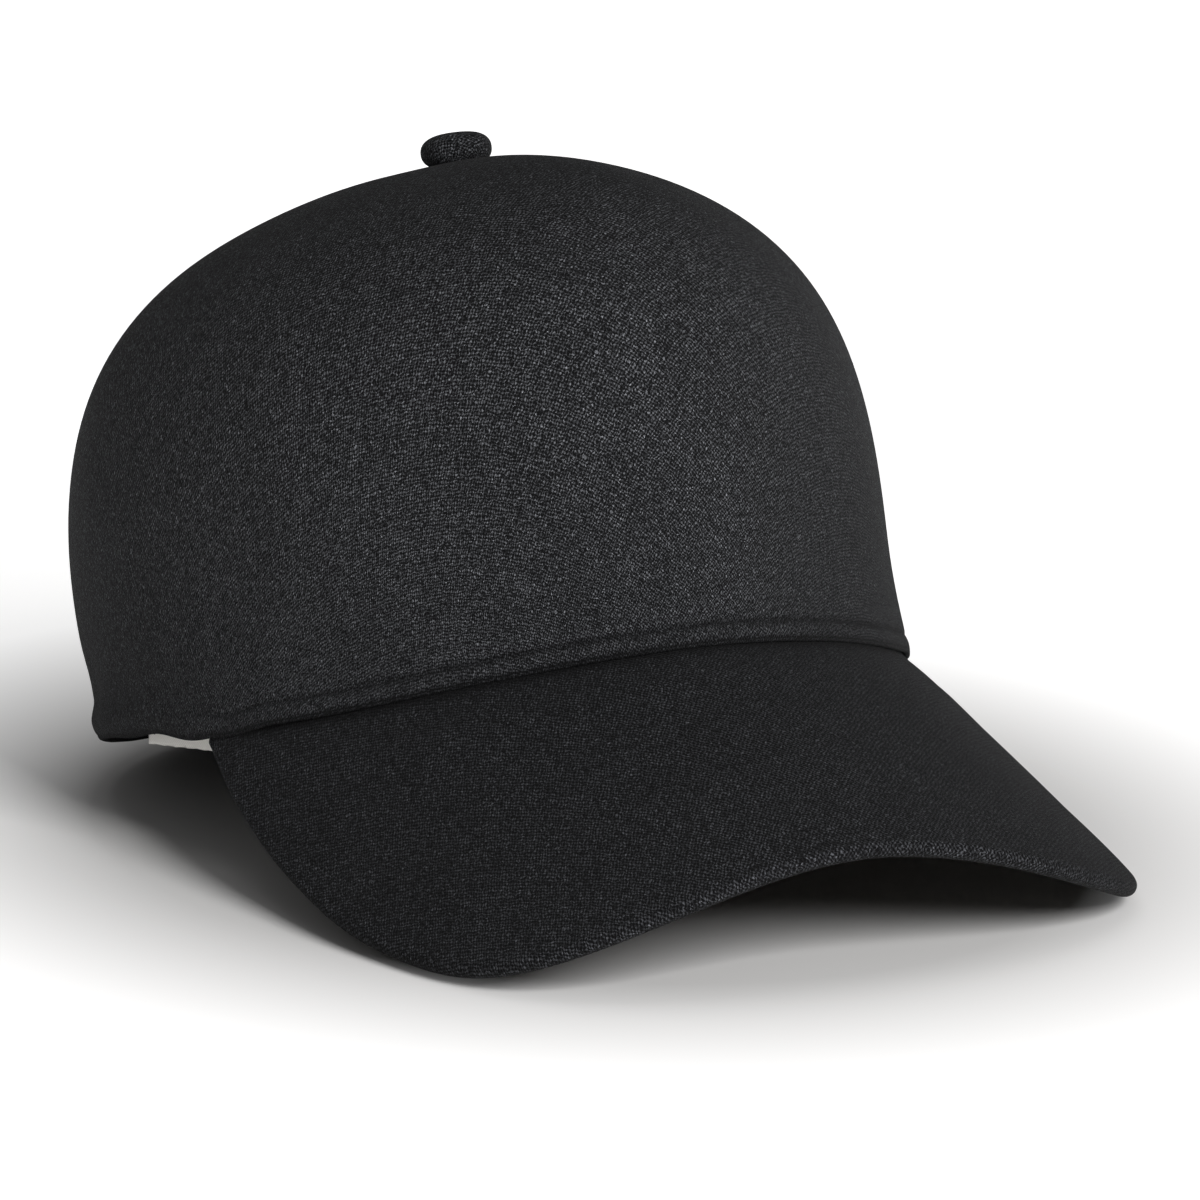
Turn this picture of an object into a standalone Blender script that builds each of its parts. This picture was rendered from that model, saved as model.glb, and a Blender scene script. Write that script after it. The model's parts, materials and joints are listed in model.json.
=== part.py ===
"""Baseball-style bump cap: a seamless knit cap over a removable impact shell.

Everything is modelled in the cap's own frame: the hem lies near z = 0, the brim
points to -Y, +X is the wearer's left and the crown rises along +Z.  The empty
"cap_axis" then tips that frame to the way the cap stands on a table, on the two
low sides of its brim and on its rear hem.
"""

import math

import bmesh
import bpy
import numpy as np

# ---- Driving dimensions, in metres unless the name says degrees ----
HEM_HALF_WIDTH = 0.0882
HEM_HALF_LENGTH = 0.1018
HEM_EGG = 0.174  # share by which the oval hem is narrower in front than behind
CROWN_HEIGHT = 0.119
CROWN_SHIFT = 0.0018  # the top of the crown sits this far ahead of the hem's centre
BULGE_TOP = 0.45  # share of the height over which the wall swells to its fullest

# How the wall rises, as (front, side, rear): power of the height, power of the
# plan, and how much fuller than the hem the wall becomes.
HEIGHT_POWER = (3.8, 4.3, 2.8)
PLAN_POWER = (2.1, 1.76, 1.96)
BULGE = (0.007, 0.024, 0.096)

BRIM_CORNER_DEG = 77.2  # where the brim leaves the hem, measured from the front
BRIM_LENGTH = 0.0736
BRIM_HALF_WIDTH = 0.0878
BRIM_WIDEST = 0.0756  # how far forward of the hem's centre the brim is widest
BRIM_CORNER_FLARE = 0.001
BRIM_SQUARENESS = 2.76
BRIM_SLOPE_DEG = 32.2
BRIM_ARCH = 0.0518  # drop from the brim's middle line to its side
BRIM_ARCH_POWER = 1.92
BRIM_FLATTENING = 0.15  # share of the arch lost from the hem to the front edge
BRIM_GAP = 0.0017  # between the brim's inner edge and the crown's wall
BRIM_ENDS = 0.95  # share of the corner angle where the brim's pieces stop

REST_TILT_DEG = 15.0
REST_FORWARD = 0.0340  # from the footprint's centre back to the hem's centre
REST_LIFT = 0.0261
FLOOR_BLOCK = 0.5  # side of the block that flattens the cloth where the cap rests

COVER = 0.0012  # thickness of the knit cover
GAP = 0.0003  # clearance between neighbouring pieces
LAYER_GAP = 0.0006  # clearance between curved layers of the crown
AROUND = 48  # facets round the crown
BAND_HEIGHT = 0.030
BAND_START = 0.0004  # the sweatband's lower edge, up the wall
BAND = 0.0010
BAND_LAYER = 0.0017  # from the face of the tape and foam to the face of the band over them
ELASTIC_SPAN = (0.001, 0.009)
FOAM_SPAN = (0.0096, 0.027)
TAPE = 0.0013  # thickness of the elastic tape and of the foam
INTERLINING_SPAN = (0.040, 0.100)  # up the front wall
INTERLINING_DEG = 52.5  # to either side of the front
INTERLINING = 0.0006
SHELL = 0.0022
SHELL_INSET = 0.0050  # from the outside of the cover to the shell, high on the crown
SHELL_CLEARANCE = 0.0085  # how far inside the hem's outline the shell stays
SHELL_ROUNDING = 0.0015
SHELL_RIM = 0.037  # height of the shell's rim, measured up the crown's wall
SHELL_HOLE = 0.010  # where the wall's columns stop short of the apex
PAD = 0.006
PAD_SPAN = (0.004, 0.040)  # up the shell's wall from its rim
PAD_PLACES = {"front": (0, 30), "left": (90, 15), "rear": (180, 30), "right": (270, 15)}
CROWN_PAD_REACH = 0.038
CROWN_PAD_HOLE = 0.008
HOOK = 0.0009
FASTENERS = {"front": 0.0, "left": 90.0, "rear": 180.0, "right": 270.0}
FASTENER_SPAN = (-0.070, -0.046)  # distances back from the apex
FASTENER_ARC = 0.014

SLOT_DEGREES = (52, 90, 128, 232, 270, 308)
SLOT_UP = 0.026  # from the shell's rim to the slot's middle
SLOT_HALF = 0.008  # half the slot's straight part
SLOT_RADIUS = 0.0028
SLOT_DEPTH = 0.006  # how far the cutter reaches to either side of the wall
SLOT_SIDES = 12

BOARD = 0.0018
BOARD_SHORT = 0.0005  # how far the board stops short of the edge's turn
BRIM_COVER = 0.0008
EDGE_RETURN = 0.004  # how far the top cover turns in under the brim
LINING_GAP = 0.0009  # between that turned-in edge and the lining

BUTTON_RADIUS = 0.0084
BUTTON_HEIGHT = 0.0068
BUTTON_BASE = 0.0002  # clearance over the crown
BUTTON_KNIT = 0.0009
BUTTON_SHOULDER = 0.0028
BUTTON_RISE = 0.0009  # how much higher the middle is than the shoulder
SOCKET_RADIUS = 0.0016
SOCKET_DEPTH = 0.0030
SHANK_RADIUS = 0.0012
SHANK_DEPTH = 0.0026
RIVET_HEAD = 0.0006
RIVET_RADIUS = 0.0028
RIVET_DROP = 0.0018  # from the inside of the cover to the rivet's head
WASHER_RADIUS = 0.0060
WASHER_DROP = 0.0006
WASHER = 0.0007

LABEL_WIDTH = 0.036
LABEL_HEIGHT = 0.031
LABEL_THICKNESS = 0.0008
LABEL_DROP = 0.0026  # how far the label hangs below the hem
LABEL_DEG = -84.0  # on the wearer's right, just behind the brim's corner
LABEL_INSET = 0.0070

SAMPLES = 400
TINY_ANGLE = 0.004


# ---- Shapes of the hem, the brim and the crown ----
def by_direction(values, phi):
    """Blend (front, side, rear) values smoothly round the crown."""
    front, side, rear = values
    ahead = max(math.cos(phi), 0.0) ** 2
    behind = max(-math.cos(phi), 0.0) ** 2
    return side + (front - side) * ahead + (rear - side) * behind


def hem_plan(phi):
    """Plan of the hem; phi runs from the front round to +X."""
    x = HEM_HALF_WIDTH * math.sin(phi) * (1.0 - HEM_EGG * math.cos(phi))
    return np.array([x, -HEM_HALF_LENGTH * math.cos(phi)])


def brim_height(x, forward):
    """Height of the brim's middle sheet, arched across and sloping forwards."""
    ahead = forward - HEM_HALF_LENGTH
    arch = BRIM_ARCH * (1.0 - BRIM_FLATTENING * ahead / BRIM_LENGTH)
    drop = arch * (abs(x) / BRIM_HALF_WIDTH) ** BRIM_ARCH_POWER
    return -ahead * math.tan(math.radians(BRIM_SLOPE_DEG)) - drop


def hem_height(phi):
    """The hem follows the brim in front and levels out behind its corners."""
    phi = abs((phi + math.pi) % (2.0 * math.pi) - math.pi)
    corner = math.radians(BRIM_CORNER_DEG)
    x, y = hem_plan(min(phi, corner))
    level = brim_height(x, -y)
    fade = min(max((phi - corner) / math.radians(30.0), 0.0), 1.0)
    return level * (1.0 - fade * fade * (3.0 - 2.0 * fade))


def crown_meridian(phi):
    """Points up the outside of the crown, from the hem to the apex."""
    share = np.linspace(0.0, 1.0, SAMPLES)
    power = by_direction(HEIGHT_POWER, phi)
    height = np.sin(0.5 * math.pi * share ** (power / 2.0)) ** (2.0 / power)
    narrowing = np.maximum(1.0 - height**power, 0.0) ** (1.0 / by_direction(PLAN_POWER, phi))
    swell = 1.0 - (1.0 - np.clip(height / BULGE_TOP, 0.0, 1.0)) ** 2
    spread = narrowing * (1.0 + by_direction(BULGE, phi) * swell)
    x, y = hem_plan(phi)
    low = hem_height(phi)
    rise = low + (CROWN_HEIGHT - low) * height
    return np.stack([x * spread, y * spread - CROWN_SHIFT * height**2, rise], axis=1)


def wall_normals(meridian, phi):
    """Outward unit normals along one meridian of a dome."""
    across = meridian(phi + TINY_ANGLE) - meridian(phi - TINY_ANGLE)
    normals = np.cross(across, np.gradient(meridian(phi), axis=0))
    normals[-1] = (0.0, 0.0, 1.0)
    return normals / np.linalg.norm(normals, axis=1)[:, None]


def shell_meridian(phi):
    """Outside of the impact shell: inside the crown, and narrow enough to leave by the hem."""
    points = crown_meridian(phi) - SHELL_INSET * wall_normals(crown_meridian, phi)
    limit = np.linalg.norm(hem_plan(phi)) - SHELL_CLEARANCE
    radius = np.maximum(np.linalg.norm(points[:, :2], axis=1), 1e-9)
    apart = np.sqrt((radius - limit) ** 2 + 4.0 * SHELL_ROUNDING**2)
    points[:, :2] *= (0.5 * (radius + limit - apart) / radius)[:, None]
    points[-1, :2] = crown_meridian(phi)[-1, :2]
    return points


def wall_strip(meridian, phi, low, high, rows, inset=0.0):
    """Evenly spaced points up a dome's wall, set in along its normals.

    low and high are distances up the wall; a high of zero or less counts back
    from the apex.
    """
    points = meridian(phi)
    normals = wall_normals(meridian, phi)
    steps = np.linalg.norm(np.diff(points, axis=0), axis=1)
    length = np.concatenate([[0.0], np.cumsum(steps)])
    top = high if high > 0.0 else length[-1] + high
    wanted = np.linspace(low, top, rows)
    even = [np.interp(wanted, length, (points - inset * normals)[:, axis]) for axis in range(3)]
    return np.stack(even, axis=1)


def brim_outline(turn):
    """Outer edge of the brim in plan, as (x, forward); turn runs from -1 to 1."""
    side = math.copysign(1.0, turn)
    turn = abs(turn)
    round_part = 0.75
    corner_x, corner_y = hem_plan(math.radians(BRIM_CORNER_DEG))
    power = 2.0 / BRIM_SQUARENESS
    if turn <= round_part:
        angle = 0.5 * math.pi * turn / round_part
        reach = HEM_HALF_LENGTH + BRIM_LENGTH - BRIM_WIDEST
        forward = BRIM_WIDEST + reach * max(math.cos(angle), 0.0) ** power
        return np.array([side * BRIM_HALF_WIDTH * math.sin(angle) ** power, forward])
    along = (turn - round_part) / (1.0 - round_part)
    narrowing = BRIM_HALF_WIDTH - corner_x - BRIM_CORNER_FLARE
    forward = BRIM_WIDEST - (BRIM_WIDEST + corner_y) * along
    return np.array([side * (BRIM_HALF_WIDTH - narrowing * along**2), forward])


def brim_point(turn, out):
    """A point of the brim's middle sheet; out runs from the hem (0) to the edge (1)."""
    inner_x, inner_y = hem_plan(turn * math.radians(BRIM_CORNER_DEG))
    stretch = 1.0 + BRIM_GAP / math.hypot(inner_x, inner_y)
    inner = np.array([inner_x * stretch, -inner_y * stretch])
    x, forward = inner + (brim_outline(turn) - inner) * out
    return np.array([x, -forward, brim_height(x, forward)])


def brim_normal(turn, out):
    """Upward unit normal of the brim's middle sheet."""
    step = 0.002
    outward = brim_point(turn, out + step) - brim_point(turn, out - step)
    across = brim_point(turn + step, out) - brim_point(turn - step, out)
    normal = np.cross(outward, across)
    return normal / np.linalg.norm(normal)


# ---- Mesh building ----
def material(name, colour, roughness, metallic=0.0):
    made = bpy.data.materials.new(name)
    made.use_nodes = True
    surface = made.node_tree.nodes["Principled BSDF"]
    surface.inputs["Base Color"].default_value = (*colour, 1.0)
    surface.inputs["Roughness"].default_value = roughness
    surface.inputs["Metallic"].default_value = metallic
    return made


def add_object(name, mesh, look, parent, collection):
    """Link a mesh drawn in the cap's frame, with its origin on its parent."""
    mesh.materials.append(look)
    mesh.shade_smooth()
    mesh.set_sharp_from_angle(angle=math.radians(40.0))
    made = bpy.data.objects.new(name, mesh)
    collection.objects.link(made)
    if parent.parent is not None:
        made.location = -parent.location
    made.parent = parent
    return made


def sheet_mesh(name, columns, ring=False, pole=None):
    """Loft columns of points into a sheet, closed round if ring, and up to a pole."""
    build = bmesh.new()
    grid = [[build.verts.new(point) for point in column] for column in columns]
    tip = build.verts.new(pole) if pole is not None else None
    pairs = list(zip(grid, grid[1:]))
    if ring:
        pairs.append((grid[-1], grid[0]))
    for left, right in pairs:
        for row in range(len(left) - 1):
            build.faces.new((left[row], right[row], right[row + 1], left[row + 1]))
        if tip:
            build.faces.new((left[-1], right[-1], tip))
    mesh = bpy.data.meshes.new(name)
    build.to_mesh(mesh)
    build.free()
    return mesh


def thicken(made, thickness):
    """Give a sheet its thickness on the side its faces point away from."""
    solidify = made.modifiers.new("thickness", "SOLIDIFY")
    solidify.thickness = thickness
    solidify.offset = -1.0
    solidify.use_even_offset = True
    return made


def angles(first_deg, last_deg, count, ring=False):
    return [math.radians(a) for a in np.linspace(first_deg, last_deg, count, endpoint=not ring)]


def dome_piece(name, meridian, around, span, rows, inset, thickness, look, parent, collection,
               ring=False, closed_top=False):
    """A piece of a dome: a ring, a patch or a cap, made as a sheet with thickness."""
    low, high = span
    columns = [wall_strip(meridian, phi, low, high, rows, inset) for phi in around]
    pole = None
    if closed_top:
        pole = meridian(0.0)[-1] - np.array([0.0, 0.0, inset])
    mesh = sheet_mesh(name, columns, ring=ring, pole=pole)
    return thicken(add_object(name, mesh, look, parent, collection), thickness)


def turned(name, profile, look, parent, collection, centre, steps=20):
    """A profile of (radius, height), from its top down its outer side, spun about Z."""
    mesh = bpy.data.meshes.new(name)
    mesh.from_pydata([(r, 0.0, z) for r, z in profile], [(i, i + 1) for i in range(len(profile) - 1)], [])
    made = add_object(name, mesh, look, parent, collection)
    made.location = centre
    screw = made.modifiers.new("turn", "SCREW")
    screw.steps = steps
    screw.render_steps = steps
    screw.use_merge_vertices = True
    screw.merge_threshold = 1e-6
    return made


# ---- Sub-parts of the knit cap ----
def make_crown_cover(parent, collection):
    look = material("charcoal_knit", (0.028, 0.030, 0.034), 0.95)
    return dome_piece("crown_cover", crown_meridian, angles(0, 360, AROUND, ring=True),
                      (0.0, -0.0017), 17, 0.0, COVER, look, parent, collection, ring=True)


def make_front_interlining(parent, collection):
    look = material("buckram", (0.75, 0.74, 0.70), 0.9)
    around = angles(-INTERLINING_DEG, INTERLINING_DEG, 15)
    return dome_piece("front_interlining", crown_meridian, around, INTERLINING_SPAN, 6,
                      COVER + LAYER_GAP, INTERLINING, look, parent, collection)


def make_bands(parent, collection):
    """Elastic tape and foam inside the hem, and the sweatband over them."""
    around = angles(0, 360, AROUND, ring=True)
    inset = COVER + LAYER_GAP
    look = material("elastic_tape", (0.05, 0.05, 0.05), 0.9)
    dome_piece("hem_elastic", crown_meridian, around, ELASTIC_SPAN, 2, inset, TAPE, look,
               parent, collection, ring=True)
    look = material("band_foam", (0.20, 0.20, 0.21), 0.95)
    dome_piece("sweatband_foam", crown_meridian, around, FOAM_SPAN, 3, inset, TAPE, look,
               parent, collection, ring=True)
    look = material("sweatband_fabric", (0.035, 0.035, 0.037), 0.9)
    dome_piece("sweatband", crown_meridian, around, (BAND_START, BAND_HEIGHT), 4,
               inset + BAND_LAYER, BAND, look, parent, collection, ring=True)


def make_fasteners(kind, look, inset, parent, collection):
    """Four hook-and-loop patches high on the crown."""
    for place, degrees in FASTENERS.items():
        phi = math.radians(degrees)
        plan = np.linalg.norm(wall_strip(crown_meridian, phi, 0.0, FASTENER_SPAN[1], 2)[-1][:2])
        reach = math.degrees(FASTENER_ARC / plan)
        points = crown_meridian(phi)
        length = np.linalg.norm(np.diff(points, axis=0), axis=1).sum()
        span = (length + FASTENER_SPAN[0], length + FASTENER_SPAN[1])
        dome_piece(f"{kind}_{place}", crown_meridian, angles(degrees - reach, degrees + reach, 5),
                   span, 4, inset, HOOK, look, parent, collection)


def make_button(parent, collection):
    """Knit-covered button: fabric cup, metal core, rivet through the crown and washer."""
    apex = crown_meridian(0.0)[-1]
    knit = bpy.data.materials["charcoal_knit"]
    metal = material("button_metal", (0.62, 0.62, 0.60), 0.35, 1.0)
    base = BUTTON_BASE
    top = base + BUTTON_HEIGHT

    def dome(radius, crest, foot):
        """Rounded side and slightly domed top, from the axis outwards and down."""
        shoulder = BUTTON_SHOULDER
        arc = [math.radians(a) for a in (90, 60, 30, 0)]
        points = [(0.0, crest)]
        points += [(radius - shoulder + shoulder * math.cos(a),
                    crest - BUTTON_RISE - shoulder + shoulder * math.sin(a)) for a in arc]
        return points + [(radius - 0.5 * BUTTON_KNIT, foot)]

    outside = dome(BUTTON_RADIUS, top, base)
    inside = dome(BUTTON_RADIUS - BUTTON_KNIT, top - BUTTON_KNIT, base)
    turned("button_cover", outside + inside[::-1], knit, parent, collection, apex)
    inset = BUTTON_KNIT + GAP
    core = dome(BUTTON_RADIUS - inset, top - inset, base)
    socket = [(SOCKET_RADIUS, base), (SOCKET_RADIUS, base + SOCKET_DEPTH), (0.0, base + SOCKET_DEPTH)]
    turned("button_core", core + socket, metal, parent, collection, apex)
    crest = base + SHANK_DEPTH
    under = -COVER - RIVET_DROP
    foot = under - RIVET_HEAD
    rivet = [(0.0, crest), (SHANK_RADIUS, crest), (SHANK_RADIUS, under), (RIVET_RADIUS, under),
             (RIVET_RADIUS, foot), (0.0, foot)]
    turned("button_rivet", rivet, metal, parent, collection, apex, steps=12)
    upper = -COVER - WASHER_DROP
    lower = upper - WASHER
    washer = [(SOCKET_RADIUS, upper), (WASHER_RADIUS, upper), (WASHER_RADIUS, lower),
              (SOCKET_RADIUS, lower), (SOCKET_RADIUS, upper)]
    turned("button_washer", washer, metal, parent, collection, apex)


# ---- Sub-parts of the brim ----
def brim_turns(ends, count):
    return np.linspace(-ends, ends, count)


def brim_sheet(name, columns, thickness, look, parent, collection):
    mesh = sheet_mesh(name, columns)
    return thicken(add_object(name, mesh, look, parent, collection), thickness)


def make_brim(parent, collection):
    """Stiff board, knit cover wrapped round its edge, and the lining underneath."""
    board_half = 0.5 * BOARD
    look = material("board_polyethylene", (0.55, 0.55, 0.55), 0.5)
    columns = []
    for turn in brim_turns(BRIM_ENDS, 33):
        width = np.linalg.norm(brim_point(turn, 1.0) - brim_point(turn, 0.0))
        spots = np.linspace(1.0 - BOARD_SHORT / width, 0.0, 8)
        columns.append([brim_point(turn, o) + board_half * brim_normal(turn, o) for o in spots])
    brim_sheet("brim_board", columns, BOARD, look, parent, collection)

    height = board_half + GAP + BRIM_COVER
    outs = np.linspace(0.0, 1.0, 8)
    columns = [top_cover_column(t, outs, height) for t in brim_turns(BRIM_ENDS, 33)]
    knit = bpy.data.materials["charcoal_knit"]
    brim_sheet("brim_top_cover", columns, BRIM_COVER, knit, parent, collection)

    look = material("brim_lining", (0.055, 0.050, 0.046), 0.9)
    depth = board_half + GAP
    columns = []
    for turn in brim_turns(BRIM_ENDS, 29):
        width = np.linalg.norm(brim_point(turn, 1.0) - brim_point(turn, 0.0))
        stop = 1.0 - (EDGE_RETURN + LINING_GAP) / width
        spots = np.linspace(0.0, stop, 8)
        columns.append([brim_point(turn, o) - (depth + BRIM_COVER) * brim_normal(turn, o)
                        for o in spots])
    brim_sheet("brim_under_cover", columns, BRIM_COVER, look, parent, collection)


def top_cover_column(turn, outs, height):
    """Section of the top cover: along the top, round the edge and a short way under."""
    normal = brim_normal(turn, 1.0)
    edge = brim_point(turn, 1.0)
    width = np.linalg.norm(edge - brim_point(turn, 0.0))
    outward = edge - brim_point(turn, 0.95)
    outward -= normal * outward.dot(normal)
    outward /= np.linalg.norm(outward)
    column = [brim_point(turn, o) + height * brim_normal(turn, o) for o in outs]
    for angle in angles(60, -90, 6):
        column.append(edge + height * (math.sin(angle) * normal + math.cos(angle) * outward))
    back = 1.0 - EDGE_RETURN / width
    column.append(brim_point(turn, back) - height * brim_normal(turn, back))
    return column[::-1]


# ---- The label and the removable insert ----
def label_place():
    """Centre of the label in plan, the directions along and into the cap, and its top."""
    phi = math.radians(LABEL_DEG)
    along = hem_plan(phi + TINY_ANGLE) - hem_plan(phi - TINY_ANGLE)
    along /= np.linalg.norm(along)
    inward = np.array([-along[1], along[0]])
    top = hem_height(phi) + LABEL_HEIGHT - LABEL_DROP
    return hem_plan(phi) + LABEL_INSET * inward, along, inward, top


def make_label(parent, collection):
    """Care label sewn in at its top edge, hanging a little below the hem."""
    look = material("label_satin", (0.80, 0.78, 0.73), 0.6)
    bpy.ops.mesh.primitive_cube_add(size=1.0)
    cube = bpy.context.object
    mesh = cube.data
    mesh.name = "care_label"
    bpy.data.objects.remove(cube)
    centre, along, inward, top = label_place()
    for vertex in mesh.vertices:
        side, through, up = vertex.co
        plan = centre + side * LABEL_WIDTH * along + through * LABEL_THICKNESS * inward
        vertex.co = (plan[0], plan[1], top + (up - 0.5) * LABEL_HEIGHT)
    build = bmesh.new()
    build.from_mesh(mesh)
    bmesh.ops.recalc_face_normals(build, faces=build.faces)
    build.to_mesh(mesh)
    build.free()
    made = add_object("care_label", mesh, look, parent, collection)
    bevel = made.modifiers.new("soft_edges", "BEVEL")
    bevel.width = 0.0002
    bevel.segments = 1
    return made


def make_shell(parent, collection, cutters):
    """Thin moulded shell with vent slots, open at its rim."""
    look = material("moulded_shell", (0.03, 0.03, 0.032), 0.35)
    shell = dome_piece("impact_shell", shell_meridian, angles(0, 360, AROUND, ring=True),
                       (SHELL_RIM, -SHELL_HOLE), 11, 0.0, SHELL, look, parent, collection,
                       ring=True, closed_top=True)
    slots = bpy.data.meshes.new("vent_slots")
    build = bmesh.new()
    for degrees in SLOT_DEGREES:
        add_slot(build, math.radians(degrees))
    build.to_mesh(slots)
    build.free()
    cutter = bpy.data.objects.new("vent_slots", slots)
    cutters.objects.link(cutter)
    cutter.parent = parent
    cutter.hide_render = True
    cutter.display_type = "WIRE"
    cut = shell.modifiers.new("vents", "BOOLEAN")
    cut.operation = "DIFFERENCE"
    cut.object = cutter


def add_slot(build, phi):
    """A round-ended bar through the shell's wall, long up and down the wall."""
    points = shell_meridian(phi)
    normals = wall_normals(shell_meridian, phi)
    steps = np.linalg.norm(np.diff(points, axis=0), axis=1)
    spot = int(np.searchsorted(np.cumsum(steps), SHELL_RIM + SLOT_UP))
    centre = points[spot]
    reach = SLOT_DEPTH * normals[spot]
    up = points[spot + 1] - points[spot - 1]
    up /= np.linalg.norm(up)
    across = np.cross(up, normals[spot])
    half_step = 180.0 / SLOT_SIDES
    turns = angles(half_step, half_step + 360.0, SLOT_SIDES, ring=True)
    outline = [SLOT_HALF * np.sign(math.sin(a)) * up
               + SLOT_RADIUS * (math.cos(a) * across + math.sin(a) * up) for a in turns]
    near = [build.verts.new(centre + reach + p) for p in outline]
    far = [build.verts.new(centre - reach + p) for p in outline]
    faces = [build.faces.new(near), build.faces.new(far[::-1])]
    for i in range(len(near)):
        j = (i + 1) % len(near)
        faces.append(build.faces.new((near[i], far[i], far[j], near[j])))
    bmesh.ops.recalc_face_normals(build, faces=faces)


def make_pads(parent, collection):
    """Foam pads stuck to the inside of the shell."""
    look = material("pad_foam", (0.09, 0.09, 0.095), 0.95)
    inset = SHELL + 2.0 * LAYER_GAP
    make_crown_pad(look, inset, parent, collection)
    span = (SHELL_RIM + PAD_SPAN[0], SHELL_RIM + PAD_SPAN[1])
    for place, (degrees, reach) in PAD_PLACES.items():
        around = angles(degrees - reach, degrees + reach, 1 + 4 * reach // 15)
        dome_piece(f"{place}_pad", shell_meridian, around, span, 5, inset, PAD, look, parent,
                   collection)


def make_crown_pad(look, inset, parent, collection):
    """Round pad under the top of the shell."""
    columns = []
    for phi in angles(0, 360, 24, ring=True):
        points = shell_meridian(phi)
        length = np.linalg.norm(np.diff(points, axis=0), axis=1).sum()
        low = length - CROWN_PAD_REACH
        columns.append(wall_strip(shell_meridian, phi, low, -CROWN_PAD_HOLE, 4, inset))
    pole = shell_meridian(0.0)[-1] - np.array([0.0, 0.0, inset])
    mesh = sheet_mesh("crown_pad", columns, ring=True, pole=pole)
    thicken(add_object("crown_pad", mesh, look, parent, collection), PAD)


# ---- Assembly ----
def flatten_on_floor(names, cutters):
    """Cut the named pieces off flat at z = 0, as cloth flattens under the cap's weight."""
    bpy.ops.mesh.primitive_cube_add(size=FLOOR_BLOCK, location=(0.0, 0.0, -0.5 * FLOOR_BLOCK))
    floor = bpy.context.object
    floor.name = "floor_block"
    for collection in list(floor.users_collection):
        collection.objects.unlink(floor)
    cutters.objects.link(floor)
    floor.hide_render = True
    floor.display_type = "WIRE"
    for name in names:
        cut = bpy.data.objects[name].modifiers.new("rest", "BOOLEAN")
        cut.operation = "DIFFERENCE"
        cut.object = floor


def empty(name, location, parent, collection):
    made = bpy.data.objects.new(name, None)
    made.location = location
    made.parent = parent
    collection.objects.link(made)
    return made


def main():
    for leftover in list(bpy.data.objects):
        bpy.data.objects.remove(leftover)
    parts = bpy.data.collections.new("bump_cap")
    cutters = bpy.data.collections.new("cutters")
    for collection in (parts, cutters):
        bpy.context.scene.collection.children.link(collection)

    cap_axis = empty("cap_axis", (0.0, REST_FORWARD, REST_LIFT), None, parts)
    cap_axis.rotation_euler = (-math.radians(REST_TILT_DEG), 0.0, 0.0)

    make_crown_cover(cap_axis, parts)
    make_front_interlining(cap_axis, parts)
    make_bands(cap_axis, parts)
    make_fasteners("loop", material("loop_tape", (0.04, 0.04, 0.04), 0.95), COVER + LAYER_GAP,
                   cap_axis, parts)
    make_button(cap_axis, parts)

    corner_x, corner_y = hem_plan(math.radians(BRIM_CORNER_DEG))
    brim_hinge = empty("brim_hinge", (0.0, corner_y, brim_height(corner_x, -corner_y)),
                       cap_axis, parts)
    make_brim(brim_hinge, parts)

    centre, _, _, top = label_place()
    label_hinge = empty("label_hinge", (centre[0], centre[1], top), cap_axis, parts)
    make_label(label_hinge, parts)

    make_shell(cap_axis, parts, cutters)
    make_fasteners("hook", material("hook_tape", (0.02, 0.02, 0.02), 0.7),
                   COVER + HOOK + 2.0 * LAYER_GAP, cap_axis, parts)
    make_pads(cap_axis, parts)
    flatten_on_floor(("crown_cover", "brim_top_cover"), cutters)


main()
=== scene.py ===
import json
import math

import bmesh
import bpy
import numpy as np
from mathutils import Matrix, Vector


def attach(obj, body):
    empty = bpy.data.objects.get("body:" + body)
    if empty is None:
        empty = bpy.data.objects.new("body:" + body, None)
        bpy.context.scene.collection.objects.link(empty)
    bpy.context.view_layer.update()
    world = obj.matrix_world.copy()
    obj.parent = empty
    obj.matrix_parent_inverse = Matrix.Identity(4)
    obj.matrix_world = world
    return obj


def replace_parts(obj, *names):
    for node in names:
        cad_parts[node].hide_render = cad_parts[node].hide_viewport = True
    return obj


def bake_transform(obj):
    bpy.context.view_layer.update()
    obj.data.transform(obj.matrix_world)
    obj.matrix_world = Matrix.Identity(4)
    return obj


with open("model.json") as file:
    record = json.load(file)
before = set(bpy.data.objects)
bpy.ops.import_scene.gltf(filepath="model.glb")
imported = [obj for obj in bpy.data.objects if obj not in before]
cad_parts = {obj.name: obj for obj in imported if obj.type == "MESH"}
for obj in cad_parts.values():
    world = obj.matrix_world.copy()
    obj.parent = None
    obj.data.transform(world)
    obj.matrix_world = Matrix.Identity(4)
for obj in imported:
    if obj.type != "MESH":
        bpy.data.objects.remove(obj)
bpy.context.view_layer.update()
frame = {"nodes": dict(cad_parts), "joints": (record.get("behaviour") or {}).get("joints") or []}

MM = 0.001

# ---- The cap's own frame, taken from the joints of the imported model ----
JOINTS = {joint["name"]: joint for joint in frame["joints"]}
CAP_UP = Vector(JOINTS["insert_release"]["axis"])
TILT = math.atan2(CAP_UP.y, CAP_UP.z)

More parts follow.
